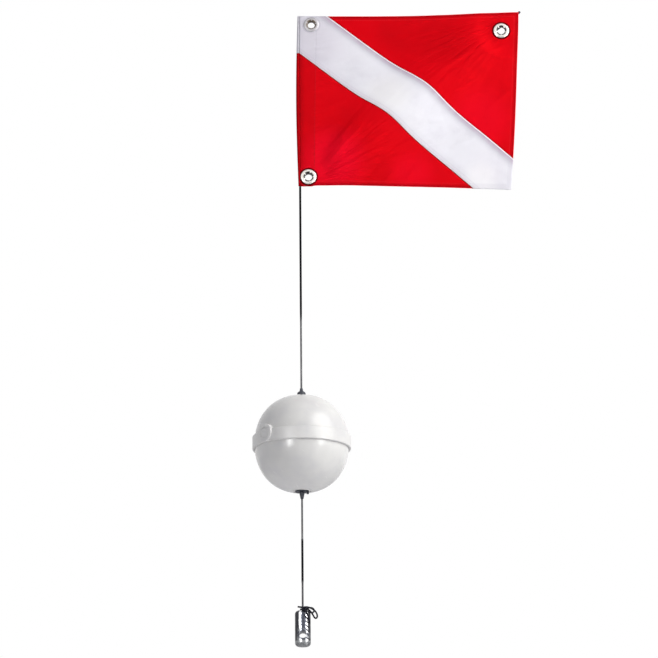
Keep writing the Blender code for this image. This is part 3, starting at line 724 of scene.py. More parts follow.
radius = weight["radius"]
foot = weight["foot"]
edge = weight["round"]
straight = weightTop - foot - 2 * edge
bore = wireRadius + 0.3 * mm
boreFoot = wire["foot"] - 0.3 * mm
profile = [(0, foot)] + arc((radius - edge, foot + edge), edge, -90, 0, 12)
profile += [(radius, foot + edge + share * straight) for share in (0.2, 0.4, 0.6, 0.8)]
profile += arc((radius - edge, weightTop - edge), edge, 0, 90, 12)
profile += [(bore + 0.3 * mm, weightTop), (bore, weightTop - 0.3 * mm)]
profile += [(bore, boreFoot), (0, boreFoot)]
names = ("weight", "weight_body")
weightBody = spun("weightBody", profile, 96, "mast", zincFinish, *names, closed=False)
bm = bmesh.new()
holePlace = Matrix.Translation((0, 0, foot + weight["holeLift"]))
acrossHole = holePlace @ Matrix.Rotation(quarterTurn, 4, "X")
ends = {"radius1": weight["holeRadius"], "radius2": weight["holeRadius"], "depth": radius * 3}
bmesh.ops.create_cone(bm, cap_ends=True, segments=64, matrix=acrossHole, **ends)
holeTool = linked("holeTool", hardMesh(bm, "holeTool"))
addModifier(weightBody, "BOOLEAN", object=holeTool, operation="DIFFERENCE", solver="EXACT")
softening = {"limit_method": "ANGLE", "angle_limit": math.radians(40)}
addModifier(weightBody, "BEVEL", width=0.9 * mm, segments=3, **softening)
applyModifiers(weightBody)
weightBody.data.set_sharp_from_angle(angle=math.radians(50))
bpy.data.objects.remove(holeTool)
print("mast and weight made")


# Flag cloth: the flat cut, and how the tight rod pulls it out of flat

flag = {
    "pullTurnShare": 0.87,
    "creaseSpread": math.radians(30),
    "creaseCount": 9,
    "fadeWider": 0.8,
    "seamSteps": 168,
    "stripeRows": 22,
    **inMm(
        hoist=311.5, fly=372.0, foot=455.5, thick=0.45, stripeWidth=83.6, stripeDrop=15.4,
        sleeveHead=29.4, sleeveHeel=24.0, sleeveAllowance=4.0, sleeveClose=8.5, foldReach=2.4,
        foldBelly=3.2, peakOut=8.9, peakRise=2.6, clewIn=9.8, clewDrop=10.7, headSag=3.0,
        footLift=1.8, flyBow=2.6, pullReach=5.5, pullWidth=46.5, ridgeDepth=14.6,
        ridgeWidth=55.2, creaseDepth=1.1, creaseReach=110.0, hoistFade=42.0, eyeletFlat=21.0,
        eyeletFade=30.0, overlap=8.0, hem=9.0,
    ),
}
# Single folds in the cloth: from and to (across the fly, up the hoist), height and width, in mm
foldLines = [
    (322, 257, 234, 202, 2.5, 6.0),
    (373, 268, 244, 191, 1.2, 3.0),
    (329, 241, 262, 164, 1.0, 3.0),
    (309, 197, 256, 161, 2.0, 3.0),
    (333, 178, 289, 160, 1.0, 3.0),
    (380, 297, 120, 272, -2.8, 13.0),
    (244, 309, 166, 291, 1.0, 4.0),
    (368, 226, 306, 236, 1.2, 6.0),
    (371, 182, 322, 140, 1.0, 5.0),
    (236, 288, 154, 257, 0.9, 5.0),
    (45, 16, 180, 88, 2.2, 3.4),
    (54, 27, 151, 93, 1.4, 3.0),
    (83, 50, 162, 102, 1.0, 3.0),
    (40, 31, 116, 115, 1.4, 4.0),
    (35, 50, 84, 102, 0.9, 4.0),
    (109, 5, 146, 47, -1.7, 5.0),
    (146, 4, 173, 38, 1.4, 4.0),
    (183, 7, 207, 41, 0.9, 4.0),
    (80, 7, 128, 44, 0.9, 3.0),
    (31, 136, 85, 157, 1.0, 5.0),
    (31, 93, 76, 117, 1.0, 5.0),
    (32, 196, 66, 186, 0.9, 5.0),
    (185, 144, 217, 159, 1.2, 4.0),
    (222, 114, 248, 121, 1.4, 4.0),
    (259, 71, 306, 89, 1.2, 5.0),
    (282, 34, 329, 58, 0.9, 6.0),
    (70, 212, 140, 226, 0.9, 7.0),
    (79, 191, 163, 205, 0.8, 7.0),
]
fly = flag["fly"]
hoist = flag["hoist"]
clothY = -2.3 * mm
sleeveDepth = 2 * abs(clothY)
layerStep = 0.9 * mm

# The flat cut's corners, and where three of them end up
heelFlat = Vector((0, 0))
headFlat = Vector((0, hoist))
peakFlat = Vector((fly, hoist))
clewFlat = Vector((fly, 0))
peakPulled = peakFlat + Vector((flag["peakOut"], flag["peakRise"]))
clewPulled = clewFlat - Vector((flag["clewIn"], flag["clewDrop"]))
rodWay = peakPulled.normalized()
rodSide = Vector((-rodWay.y, rodWay.x))
rodSpan = peakPulled.length
rodHeading = math.atan2(rodWay.y, rodWay.x)

eyeletPlaces = {
    corner: (low(f"{corner}_eyelet") + high(f"{corner}_eyelet")) / 2
    for corner in ("head", "heel", "peak")
}
eyeletSpots = [Vector((place.x, place.z)) for place in eyeletPlaces.values()]


# 0 beside an eyelet, and 1 from some way off
def eyeletNear(x, z, start, fade):
    share = 1.0
    for eyelet in eyeletSpots:
        off = (Vector((x, z + flag["foot"])) - eyelet).length
        share *= smoothStep((off - start) / fade)
    return share


def spreadPlace(x, z):
    across = x / fly
    up = z / hoist
    place = clewPulled * across * (1 - up) + headFlat * (1 - across) * up + peakPulled * across * up
    bow = math.sin(math.pi * min(1, max(0, across)))
    place.y += bow * (flag["footLift"] * (1 - up) ** 2 - flag["headSag"] * up * up)
    place.x += flag["flyBow"] * math.sin(math.pi * min(1, max(0, up))) * across * across
    along = min(1, max(0, place.dot(rodWay) / rodSpan))
    aside = place.dot(rodSide)
    pull = flag["pullReach"] * math.sin(math.pi * flag["pullTurnShare"] * along)
    pull *= math.exp(-((aside / flag["pullWidth"]) ** 2)) * smoothStep(x / flag["hoistFade"])
    return place + rodWay * pull


peakCorner = spreadPlace(*peakFlat)


# The main creases out of one end of the rod, and finer ones between them
def fan(place, corner, heading, seed):
    spoke = place - corner
    reach = spoke.length / flag["creaseReach"]
    if reach < 1e-6:
        return 0
    turn = math.atan2(spoke.y, spoke.x) - heading
    turn = (turn + math.pi) % math.tau - math.pi
    spread = math.exp(-((turn / flag["creaseSpread"]) ** 2))
    swell = reach * math.exp(1 - reach)
    main = flag["creaseDepth"] * math.sin(flag["creaseCount"] * turn) * swell * spread
    wide = math.exp(-((turn / (flag["creaseSpread"] * 1.7)) ** 2))
    fine = noiseAt(turn * 15, spoke.length * 6, seed)
    finest = 0.5 - abs(noiseAt(turn * 23, spoke.length * 9, seed + 5))
    fade = smoothStep(reach * 2.2) * math.exp(-reach * 0.5)
    return main + (0.8 * mm * fine + 1.1 * mm * finest) * wide * fade


def clothRise(place):
    along = min(1, max(0, place.dot(rodWay) / rodSpan))
    aside = place.dot(rodSide)
    rise = flag["ridgeDepth"] * math.sin(math.pi * along)
    rise *= math.exp(-((aside / flag["ridgeWidth"]) ** 2))
    besideSleeve = math.atan2(place.y, max(place.x, 1e-6)) - rodHeading
    rise += fan(place, heelFlat, rodHeading, 2) * smoothStep((0.44 - besideSleeve) / 0.3)
    rise += fan(place, peakCorner, rodHeading + math.pi, 11)
    rise += 0.9 * mm * noiseAt(place.x * 14, place.y * 14, 3)
    rise += 0.28 * mm * noiseAt(place.x * 60, place.y * 60, 8)
    rise *= eyeletNear(*place, flag["eyeletFlat"], flag["eyeletFade"])
    wider = flag["fadeWider"] * smoothStep((abs(aside) - 10 * mm) / (30 * mm))
    return rise * smoothStep((place.x - flag["sleeveHead"]) / (flag["hoistFade"] * (1 + wider)))


# How far the sleeve's stitching is from the fold at one height
def stitchLine(z):
    return flag["sleeveHeel"] + (flag["sleeveHead"] - flag["sleeveHeel"]) * z / hoist


foldSpans = []
for fromX, fromZ, toX, toZ, height, width in foldLines:
    start = Vector((fromX, fromZ)) * mm
    span = Vector((toX, toZ)) * mm - start
    foldSpans.append((start, span, span.length, height * mm, width * mm))


# The single folds, each with a sharp crest and a steeper lower side
def foldsAt(x, z):
    total = 0.0
    for start, span, length, height, width in foldSpans:
        along = ((x - start.x) * span.x + (z - start.y) * span.y) / (length * length)
        if not 0 < along < 1:
            continue
        off = ((x - start.x) * span.y - (z - start.y) * span.x) / length
        off = off * math.copysign(1, span.x) / width
        if abs(off) > 6:
            continue
        if off > 0:
            off *= 1.7
        crest = math.exp(0.2 - math.sqrt(off * off + 0.04))
        total += height * math.sin(math.pi * along) ** 0.7 * crest
    return total


stripeMiddle = hoist - flag["stripeDrop"]
stripeSlope = stripeMiddle / fly
stripeLean = math.hypot(1, stripeSlope)
stripeTall = flag["stripeWidth"] * stripeLean / 2


# How far a flat place lies inside the stripe, less than zero outside it
def intoStripe(x, z):
    off = (z - stripeMiddle + stripeSlope * x) / stripeLean
    return flag["stripeWidth"] / 2 - abs(off)


# Small gathers across the sleeve's stitching, the hems and the stripe's seams
def pucker(x, z):
    off = x - stitchLine(z)
    reach = math.exp(-off / (13 * mm)) if off > 0 else math.exp(off / (3 * mm))
    gather = 2.5 * noiseAt(x * 34, z * 165 - x * 40, 4) * reach
    sleeve = 0.35 * noiseAt(x * 40, z * 75, 9) if 3 * mm < x < stitchLine(z) else 0
    edge = min(hoist - z, z, fly - x)
    along = x if edge != fly - x else z
    hem = math.exp(-((edge / flag["hem"] - 1) ** 2) * 3)
    hem *= noiseAt(along * 90, edge * 30, 6)
    seam = abs(intoStripe(x, z)) / (7 * mm)
    gathered = noiseAt(x * 120, z * 120, 15) * math.exp(-seam * seam)
    near = eyeletNear(x, z, 14 * mm, 10 * mm)
    return (0.5 * gather + 0.3 * sleeve + 0.3 * hem + 0.32 * gathered) * mm * near


def clothPoint(x, z, layer, lift=0.0):
    place = spreadPlace(x, z)
    folds = foldsAt(x, z) * smoothStep((x - flag["sleeveHead"]) / (12 * mm))
    rise = clothRise(place) + pucker(x, z) + folds * eyeletNear(x, z, 16 * mm, 14 * mm)
    return Vector((place.x, clothY - rise - layer + lift, flag["foot"] + place.y))


# The stripe's folded edges lie on the red cloth, which is pushed back below them
def whitePoint(x, z, lift=0.0):
    inside = intoStripe(x, z)
    over = 1 - smoothStep((inside - flag["overlap"]) / (3 * mm))
    fold = 1 - smoothStep((inside - 1.2 * mm) / (1.5 * mm))
    return clothPoint(x, z, 0.22 * mm * (over + fold), lift)


def redPoint(x, z, lift=0.0):
    below = smoothStep((intoStripe(x, z) + 2.5 * mm) / (2.5 * mm))
    return clothPoint(x, z, -0.36 * mm * below, lift)


# The stripe's upper (1) or lower (-1) seam, moved out of the stripe by some spread
def stripeEnds(side, spread):
    tall = stripeTall + spread * stripeLean
    if side > 0:
        return [
            Vector(((stripeMiddle + tall - hoist) / stripeSlope, hoist)),
            Vector((fly, stripeMiddle + tall - stripeSlope * fly)),
        ]
    return [Vector((0, stripeMiddle - tall)), Vector(((stripeMiddle - tall) / stripeSlope, 0))]


# Strips of rows of places, each a sheet; a next row may be one place shorter
def clothMesh(name, strips, point):
    bm = bmesh.new()
    uv = bm.loops.layers.uv.new("cut")

    def add(*corners):
        middle = sum((vert.co for vert, place in corners), Vector()) / len(corners)
        for eyelet in eyeletSpots:
            if (Vector((middle.x, middle.z)) - eyelet).length < 9.3 * mm:
                return
        made = bm.faces.new([vert for vert, place in corners])
        for loop, (vert, place) in zip(made.loops, corners):
            loop[uv].uv = (place[0] / fly, place[1] / hoist)

    for rows in strips:
        grid = [[(bm.verts.new(point(*place)), place) for place in row] for row in rows]
        for lower, upper in zip(grid, grid[1:]):
            if len(lower) == len(upper):
                for i in range(len(lower) - 1):
                    add(lower[i], lower[i + 1], upper[i + 1], upper[i])
                continue
            for i in range(len(upper)):
                add(lower[i], lower[i + 1], upper[i])
                if i + 1 < len(upper):
                    add(lower[i + 1], upper[i + 1], upper[i])
    loose = [vert for vert in bm.verts if not vert.link_faces]
    bmesh.ops.delete(bm, geom=loose, context="VERTS")
    bmesh.ops.recalc_face_normals(bm, faces=bm.faces)
    if sum(face.normal.y for face in bm.faces) > 0:
        bmesh.ops.reverse_faces(bm, faces=bm.faces)
    return smoothMesh(bm, name)


def sewn(name, strips, point, finish, node=None, thick=flag["thick"]):
    made = newObject(name, clothMesh(name, strips, point), "flag", finish, node)
    addModifier(made, "SOLIDIFY", thickness=thick, offset=0)
    applyModifiers(made)
    return made


# Cloth finishes, worked out from the flat cut so that seams and hems stay in place

stitchLean = (flag["sleeveHead"] - flag["sleeveHeel"]) / hoist


def weave(x, z):
    pitch = 0.55 * mm
    return times(sine(times(x, math.tau / pitch)), sine(times(z, math.tau / pitch)))


def clothFinish(name):
    made = newMaterial(name, (0.8, 0.8, 0.8), 0.66)
    give("Specular IOR Level", 0.03)
    uv = parts(newNode("UVMap", uv_map="cut").outputs[0])
    x = times(uv[0], fly)
    z = times(uv[1], hoist)
    flat = joined(x, z)
    off = calc("DIVIDE", minus(timesPlus(x, stripeSlope, z), stripeMiddle), stripeLean)
    fromSides = calc("MINIMUM", minus(hoist, z), z)
    axes = parts(objectSpot())
    # Painted shadow of each eyelet's flange on the cloth round it
    eyeletShadow = 0.0
    for eyelet in eyeletSpots:
        reach = distance(minus(axes[0], eyelet.x), minus(axes[2], eyelet.y))
        eyeletShadow = larger(fade(reach, 17.0, 15.4), eyeletShadow)
    return made, {
        "x": x,
        "z": z,
        "flat": flat,
        "off": off,
        "inside": minus(flag["stripeWidth"] / 2, absolute(off)),
        "alongSeam": calc("DIVIDE", timesPlus(z, -stripeSlope, x), stripeLean),
        "fromEdge": calc("MINIMUM", fromSides, minus(fly, x)),
        "sleeveOff": minus(x, timesPlus(z, stitchLean, flag["sleeveHeel"])),
        "weave": weave(x, z),
        "slub": grain(flat, 900, 3, 0.6, (1.0, 0.12, 1.0)),
        "broad": grain(flat, 11, 3, 0.5),
        "eyeletShadow": eyeletShadow,
    }


# Fine creases that spread out of one corner of the flag, about a middle turn
def creases(cut, corner, middle, seed):
    offX = gap(cut["x"], corner.x)
    offZ = gap(cut["z"], corner.y)
    reach = distance(offX, offZ)
    turn = calc("ARCTAN2", offZ, offX)
    wave = grain(joined(times(turn, 10.0), times(reach, 10.0), seed), 1.0, 2, 0.5)
    crest = smooth(gap(wave, 0.5), 0.14, 0.0)
    within = times(fade(reach, 26, 60), fade(reach, 290, 110))
    return times(crest, times(smooth(gap(turn, middle), 0.55, 0.15), within))


# How far a place on the flat cut lies in the listed areas (x, z and reach in mm, and share)
def areas(cut, listed):
    total = 0.0
    for x, z, reach, share in listed:
        off = distance(minus(cut["x"], x * mm), minus(cut["z"], z * mm))
        total = larger(smooth(off, reach * mm, reach * 0.25 * mm, 0.0, share), total)
    return total


# A row of thread dashes where the value off meets a place
def stitches(off, place, along):
    row = fade(gap(off, place), 0.55, 0.25)
    dash = calc("PINGPONG", calc("DIVIDE", along, 3.2 * mm), 0.5)
    return times(row, smooth(dash, 0.12, 0.2))


# The sleeve's seam: the groove that it pulls in, and its thread
def sleeveStitching(cut):
    groove = fade(absolute(cut["sleeveOff"]), 1.7, 0.2, 0.6)
    return groove, stitches(cut["sleeveOff"], 0.0, cut["z"])


def hemShade(cut, share):
    return smooth(cut["fromEdge"], flag["hem"] + 0.6 * mm, flag["hem"] - 0.4 * mm, 0.0, share)


# Raises a cloth's threads over the groove and creases, and gives it its tone
def finishCloth(cut, tone, groove, thread, threadRise):
    give("Base Color", tone)
    relief = timesPlus(cut["slub"], 0.5, times(cut["weave"], 0.25))
    relief = timesPlus(thread, threadRise, minus(relief, times(groove, 1.2)))
    folded = plus(creases(cut, heelFlat, 0.48, 2.0), creases(cut, peakFlat, 0.60, 7.0))
    bumped(relief, 0.12 * mm, 0.8, bumped(folded, 0.9 * mm))
    addTranslucence(tone, 0.10)


def addTranslucence(color, share):
    glow = newNode("BsdfTranslucent", {"Color": color}).outputs[0]
    blend = newNode("MixShader", {0: share, 1: shader.outputs[0], 2: glow}).outputs[0]
    put(blend, tree.nodes["Material Output"].inputs["Surface"])


red = {
    "color": (0.80, 0.0004, 0.0062),
    "deep": (0.58, 0.0003, 0.0040),
    "dark": (0.22, 0.0004, 0.0024),
    "paintedLight": (1.0, 0.0022, 0.021),
    "shadow": (0.06, 0.0002, 0.0010),
    "thread": (0.90, 0.030, 0.045),
    "paintedLightAreas": ((52, 42, 80, 0.90), (312, 122, 75, 0.42), (196, 20, 55, 0.45)),
    "paintedShadeAreas": ((172, 280, 60, 0.40), (236, 272, 75, 0.50)),
}
redFinish, cut = clothFinish("flagRed")
hemThread = stitches(cut["fromEdge"], flag["hem"] - 1.4 * mm, plus(cut["x"], cut["z"]))
groove, sleeveThread = sleeveStitching(cut)
thread = larger(hemThread, sleeveThread)
outside = times(cut["inside"], -1.0)
# The outermost millimetre has a painted highlight, and inside it painted shade darkens the turned
# edge
tone = layered(
    red["color"],
    (smooth(cut["broad"], 0.35, 0.7, 0.0, 0.18), red["deep"]),
    # Painted light and painted shade over listed broad areas of the cloth
    (areas(cut, red["paintedLightAreas"]), red["paintedLight"]),
    (areas(cut, red["paintedShadeAreas"]), red["deep"]),
    (smooth(cut["slub"], 0.55, 0.75, 0.0, 0.25), red["deep"]),
    (hemShade(cut, 0.14), red["deep"]),
    (fade(cut["fromEdge"], 7.0, 1.0, 0.55), red["dark"]),
    (fade(cut["fromEdge"], 1.3, 0.5, 0.9), red["paintedLight"]),
    # Painted shadow on the red beside the stripe's folded edge
    (fade(outside, 2.1, 0.3, 0.85), red["dark"]),
    # Painted shade in the sleeve's groove, over the sleeve and beside the mast
    (groove, red["deep"]),
    (fade(cut["sleeveOff"], 1.5, -1.0, 0.30), red["deep"]),
    (fade(cut["x"], 11, 1.0, 0.30), red["dark"]),
    (times(cut["eyeletShadow"], 0.9), red["shadow"]),
    (times(thread, 0.55), red["thread"]),
)
finishCloth(cut, tone, groove, thread, 0.8)

white = {
    "color": (0.925, 0.915, 0.965),
    "paintedBright": (1.0, 0.985, 1.0),
    "grey": (0.655, 0.635, 0.71),
    "mauve": (0.52, 0.35, 0.50),
    "edge": (0.97, 0.90, 0.93),
    "thread": (0.42, 0.39, 0.47),
    "paintedBrightAreas": ((148, 158, 58, 0.85), (190, 118, 40, 0.25), (317, 15, 45, 0.7)),
    "mauveAreas": ((22, 262, 80, 0.10), (337, 37, 45, 0.05)),
}
whiteFinish, cut = clothFinish("flagWhite")
downFly = timesPlus(cut["broad"], -0.30, calc("DIVIDE", cut["x"], fly))
# The red allowance shows through along the upper seam, and a little along the lower one
upperSide = smooth(cut["off"], -4 * mm, 4 * mm, 0.14, 1.0)
patchy = smooth(grain(cut["flat"], 60, 4, 0.6), 0.30, 0.62, 0.55, 1.0)
fadeIn = fade(cut["inside"], 19, 4, 0.60)
band = smooth(cut["inside"], flag["overlap"] + 3.0 * mm, 2.0 * mm, 0.0, 0.66)
groove, sleeveThread = sleeveStitching(cut)
seamThreads = [stitches(cut["inside"], row, cut["alongSeam"]) for row in (2.9 * mm, 7.2 * mm)]
thread = larger(larger(*seamThreads), sleeveThread)
tone = layered(
    white["color"],
    # Painted shade greying the stripe towards the hoist
    (smooth(downFly, 0.22, -0.16, 0.02, 0.42), white["grey"]),
    (smooth(grain(cut["flat"], 24, 4, 0.55), 0.48, 0.72, 0.0, 0.22), white["grey"]),
    # Painted light over listed areas along the stripe's ridge
    (areas(cut, white["paintedBrightAreas"]), white["paintedBright"]),
    (areas(cut, white["mauveAreas"]), white["mauve"]),
    # Painted shade towards both seams, most along the upper one
    (times(fadeIn, larger(upperSide, 0.38)), white["grey"]),
    (times(times(band, patchy), upperSide), white["mauve"]),
    # Painted highlight on the stripe's folded edge
    (fade(cut["inside"], 2.3, 1.3, 0.95), white["edge"]),
    (hemShade(cut, 0.18), white["grey"]),
    # Painted shade in the sleeve's groove and beside the mast
    (times(groove, 0.25), white["grey"]),
    (fade(cut["x"], 12, 1.0, 0.5), white["grey"]),
    # Painted shadow round the eyelets
    (times(cut["eyeletShadow"], 0.5), white["grey"]),
    (times(thread, 0.2), white["thread"]),
)
finishCloth(cut, tone, groove, thread, -0.8)


# Rows that run from a seam to a corner, each one place shorter than the last
def cornerRows(ends, corner):
    steps = flag["seamSteps"]
    rows = []
    for k in range(steps):
        start, end = (place.lerp(corner, k / steps) for place in ends)
        rows.append([start.lerp(end, i / (steps - k)) for i in range(steps - k + 1)])
    return rows + [[corner]]


def lineRow(start, end):
    return [start.lerp(end, i / flag["seamSteps"]) for i in range(flag["seamSteps"] + 1)]


upperEnds = stripeEnds(1, -flag["overlap"])
lowerEnds = stripeEnds(-1, -flag["overlap"])
upperRows = cornerRows(upperEnds, peakFlat)
lowerRows = cornerRows(lowerEnds, heelFlat)
upperPanel = sewn("upperPanel", [upperRows], redPoint, redFinish, "flag_upper_panel")
lowerPanel = sewn("lowerPanel", [lowerRows], redPoint, redFinish, "flag_lower_panel")
upperSeam = stripeEnds(1, 0.0)
lowerSeam = stripeEnds(-1, 0.0)
top = lineRow(*upperSeam)
middle = lineRow(headFlat, clewFlat)
rows = [
    [a.lerp(b, k / flag["stripeRows"]) for a, b in zip(lower, upper)]
    for lower, upper in ((lineRow(*lowerSeam), middle), (middle, top))
    for k in range(flag["stripeRows"])
]
stripePanel = sewn(
    "stripePanel", [rows + [top]], whitePoint, whiteFinish, "flag_stripe_panel"
)
print("flag panels made")


# Sleeve round the mast: the cloth goes on round the fold and back to the stitching

sleeve = {"foldShare": 0.30, "foldCloth": 9 * mm, "foldX": -0.3 * mm, "steps": 44}


# A place on the sleeve's line at one height
def sleevePlace(share, z):
    stitched = stitchLine(z)
    closing = max(0.0, z - (hoist - flag["sleeveClose"])) / flag["sleeveClose"]
    depth = sleeveDepth + (layerStep - sleeveDepth) * closing
    if share < sleeve["foldShare"]:
        reach = flag["foldReach"] + flag["foldBelly"] * math.sin(math.pi * z / hoist)
        turn = math.pi * share / sleeve["foldShare"]
        return sleeve["foldX"] - reach * math.sin(turn), depth / 2 * (1 - math.cos(turn))
    t = (share - sleeve["foldShare"]) / (1 - sleeve["foldShare"])
    x = sleeve["foldX"] + t * (stitched + flag["sleeveAllowance"] - sleeve["foldX"])
    down = smoothStep((x - stitched + 5 * mm) / (6 * mm))
    slack = noiseAt(x * 45, z * 28, 14) * 0.5 * mm
    slack += noiseAt(x * 60, z * 120, 17) * 0.25 * mm
    inside = smoothStep(x / (6 * mm)) * (1 - down)
    near = eyeletNear(x, z, 14 * mm, 8 * mm)
    return x, depth + (layerStep - depth) * down - max(0.0, slack) * inside * near


def sleevePoint(share, z):
    x, y = sleevePlace(share, z)
    gather = pucker(max(x, 0), z) * 0.5 if share > sleeve["foldShare"] else 0
    return Vector((x, clothY + y - gather, flag["foot"] + z))


# Plain cloth for the sleeve, by place on the object, with its stitching
def sleeveFinish(name, color, deep, dark):
    made = newMaterial(name, color, 0.62)
    give("Specular IOR Level", 0.03)
    spot = objectSpot()
    axes = parts(spot)
    slub = grain(spot, 900, 3, 0.6, (1.0, 1.0, 0.12))
    line = timesPlus(minus(axes[2], flag["foot"]), stitchLean, flag["sleeveHeel"])
    thread = stitches(minus(axes[0], line), 0.0, axes[2])
    tone = layered(
        color,
        (smooth(grain(spot, 26, 3, 0.5), 0.35, 0.7, 0.1, 0.6), deep),
        (smooth(slub, 0.55, 0.75, 0.0, 0.25), deep),
        # Painted shade at the fold beside the mast
        (fade(axes[0], 2.5, -3.5, 0.35), dark),
        (times(thread, 0.5), dark),
    )
    give("Base Color", tone)
    relief = timesPlus(slub, 0.5, times(weave(axes[0], axes[2]), 0.25))
    bumped(minus(relief, times(thread, 0.8)), 0.12 * mm, 0.8)
    addTranslucence(tone, 0.12)
    return made


redBack = sleeveFinish("sleeveRedCloth", red["color"], red["deep"], red["dark"])
whiteBack = sleeveFinish("sleeveWhiteCloth", white["color"], white["grey"], white["grey"])
seamHeight = lowerSeam[0].y
for name, node, foot, top, count, finish, slot, under in (
    ("White", "sleeve_white", seamHeight, hoist, 60, whiteBack, "white_cloth", "stripePanel"),
    ("Red", "sleeve_red", 0.0, seamHeight, 200, redBack, "red_cloth", "lowerPanel"),
):
    heights = [foot + (top - foot) * i / count for i in range(count + 1)]
    rows = [[(i / sleeve["steps"], z) for i in range(sleeve["steps"] + 1)] for z in heights]
    made = sewn(f"sleeve{name}", [rows], sleevePoint, finish, node)
print("sleeve made")


# Hems on the back of the free edges of each cloth

# Places across a hem: how far in from the edge, and how far behind the cloth
hemShape = (
    (0.1 * mm, 0.05 * mm),
    (0.4 * mm, 0.48 * mm),
    (2.5 * mm, 0.58 * mm),
    (5.0 * mm, 0.56 * mm),
    (flag["hem"] - 1.4 * mm, 0.50 * mm),
    (flag["hem"] - 0.4 * mm, 0.58 * mm),
    (flag["hem"], 0.48 * mm),
)


# Rows across a hem between two flat places on the edge
def hemRows(start, end, inward, count=90):
    rows = []
    for i in range(count + 1):
        place = start.lerp(end, i / count)
        rows.append([(*(place + Vector(inward) * inset), lift) for inset, lift in hemShape])
    return rows


down = (0, -1)
upward = (0, 1)
inFly = (-1, 0)
hemLap = 5 * mm
hemStart = flag["sleeveHead"] + flag["sleeveAllowance"] + 1 * mm
lapAlong = Vector((hemLap, 0))
cornerAlong = Vector((flag["hem"], 0))
redStrips = [
    hemRows(upperSeam[0] + lapAlong, peakFlat - cornerAlong, down),
    hemRows(peakFlat, upperSeam[1] + Vector((0, hemLap)), inFly),
    hemRows(Vector((hemStart, 0)), lowerSeam[1] - lapAlong, upward),
]
whiteStrips = [
    hemRows(Vector((hemStart + 2 * mm, hoist)), upperSeam[0], down, 20),
    hemRows(upperSeam[1], clewFlat, inFly, 40),
    hemRows(lowerSeam[1], clewFlat - cornerAlong, upward, 30),
]
redLong = (peakFlat.x - upperSeam[0].x) + (peakFlat.y - upperSeam[1].y) + lowerSeam[1].x
whiteLong = upperSeam[1].y + clewFlat.x - lowerSeam[1].x + upperSeam[0].x - hemStart
for name, strips, point, finish, slot, long, under in (
    ("redHem", redStrips, redPoint, redFinish, "red_cloth", redLong, "upperPanel"),
    ("whiteHem", whiteStrips, whitePoint, whiteFinish, "white_cloth", whiteLong, "stripePanel"),
):
    made = sewn(name, strips, point, finish, thick=0.35 * mm)
print("hems made")


# Eyelets and their washers

eyelet = {
    "front": clothY - 0.6 * mm,
    "nickel": (0.83, 0.815, 0.78),
    "tarnish": (0.46, 0.42, 0.35),
    "dark": (0.022, 0.020, 0.018),
    "greyed": (0.31, 0.30, 0.325),
    "brown": (0.125, 0.098, 0.074),
    "petals": 5.0,
    **inMm(flange=13.2, hole=6.3, wall=0.7, crown=1.0, lip=1.6, roll=2.3, washerThick=0.7),
}


# Nickel with painted shade in its throat, brown on an aged one, whose split petals leave bright
# gaps; aged from 0 to 1
def eyeletFinish(name, aged, phase):
    made = newMaterial(name, eyelet["nickel"], 0.26, 1.0)
    spot = objectSpot()
    axes = parts(spot)
    radius = distance(axes[0], axes[1])
    stain = grain(spot, 240, 4, 0.6)
    fine = grain(spot, 1500, 3, 0.6)
    petals = sine(timesPlus(calc("ARCTAN2", axes[1], axes[0]), eyelet["petals"], phase))
    split = times(smooth(petals, 0.72, 0.95, 0.0, 0.85), fade(radius, 6.5, 7.0))
    ragged = timesPlus(minus(stain, 0.5), 2.4 * mm, radius)
    throat = times(fade(ragged, 9.5, 8.6, 0.96), minus(1.0, split))
    tone = layered(
        eyelet["nickel"],
        (smooth(stain, 0.42, 0.7, 0.0, 0.65), eyelet["tarnish"]),
        (aged, eyelet["greyed"]),
        # Painted shade in the rolled throat
        (throat, eyelet["brown"] if aged else eyelet["dark"]),
    )
    give("Base Color", tone)
    give("Roughness", smooth(stain, 0.3, 0.75, 0.18 + 0.28 * aged, 0.42 + 0.20 * aged))
    bumped(fine, 0.06 * mm, 0.5)
    return made


faceForward = Matrix.Rotation(quarterTurn, 4, "X")
hole = eyelet["hole"]
flange = eyelet["flange"]
crown = eyelet["crown"]
roll = eyelet["roll"]
barrel = hole + eyelet["wall"]
lip = barrel + eyelet["lip"]
ringMiddle = (flange + barrel) / 2
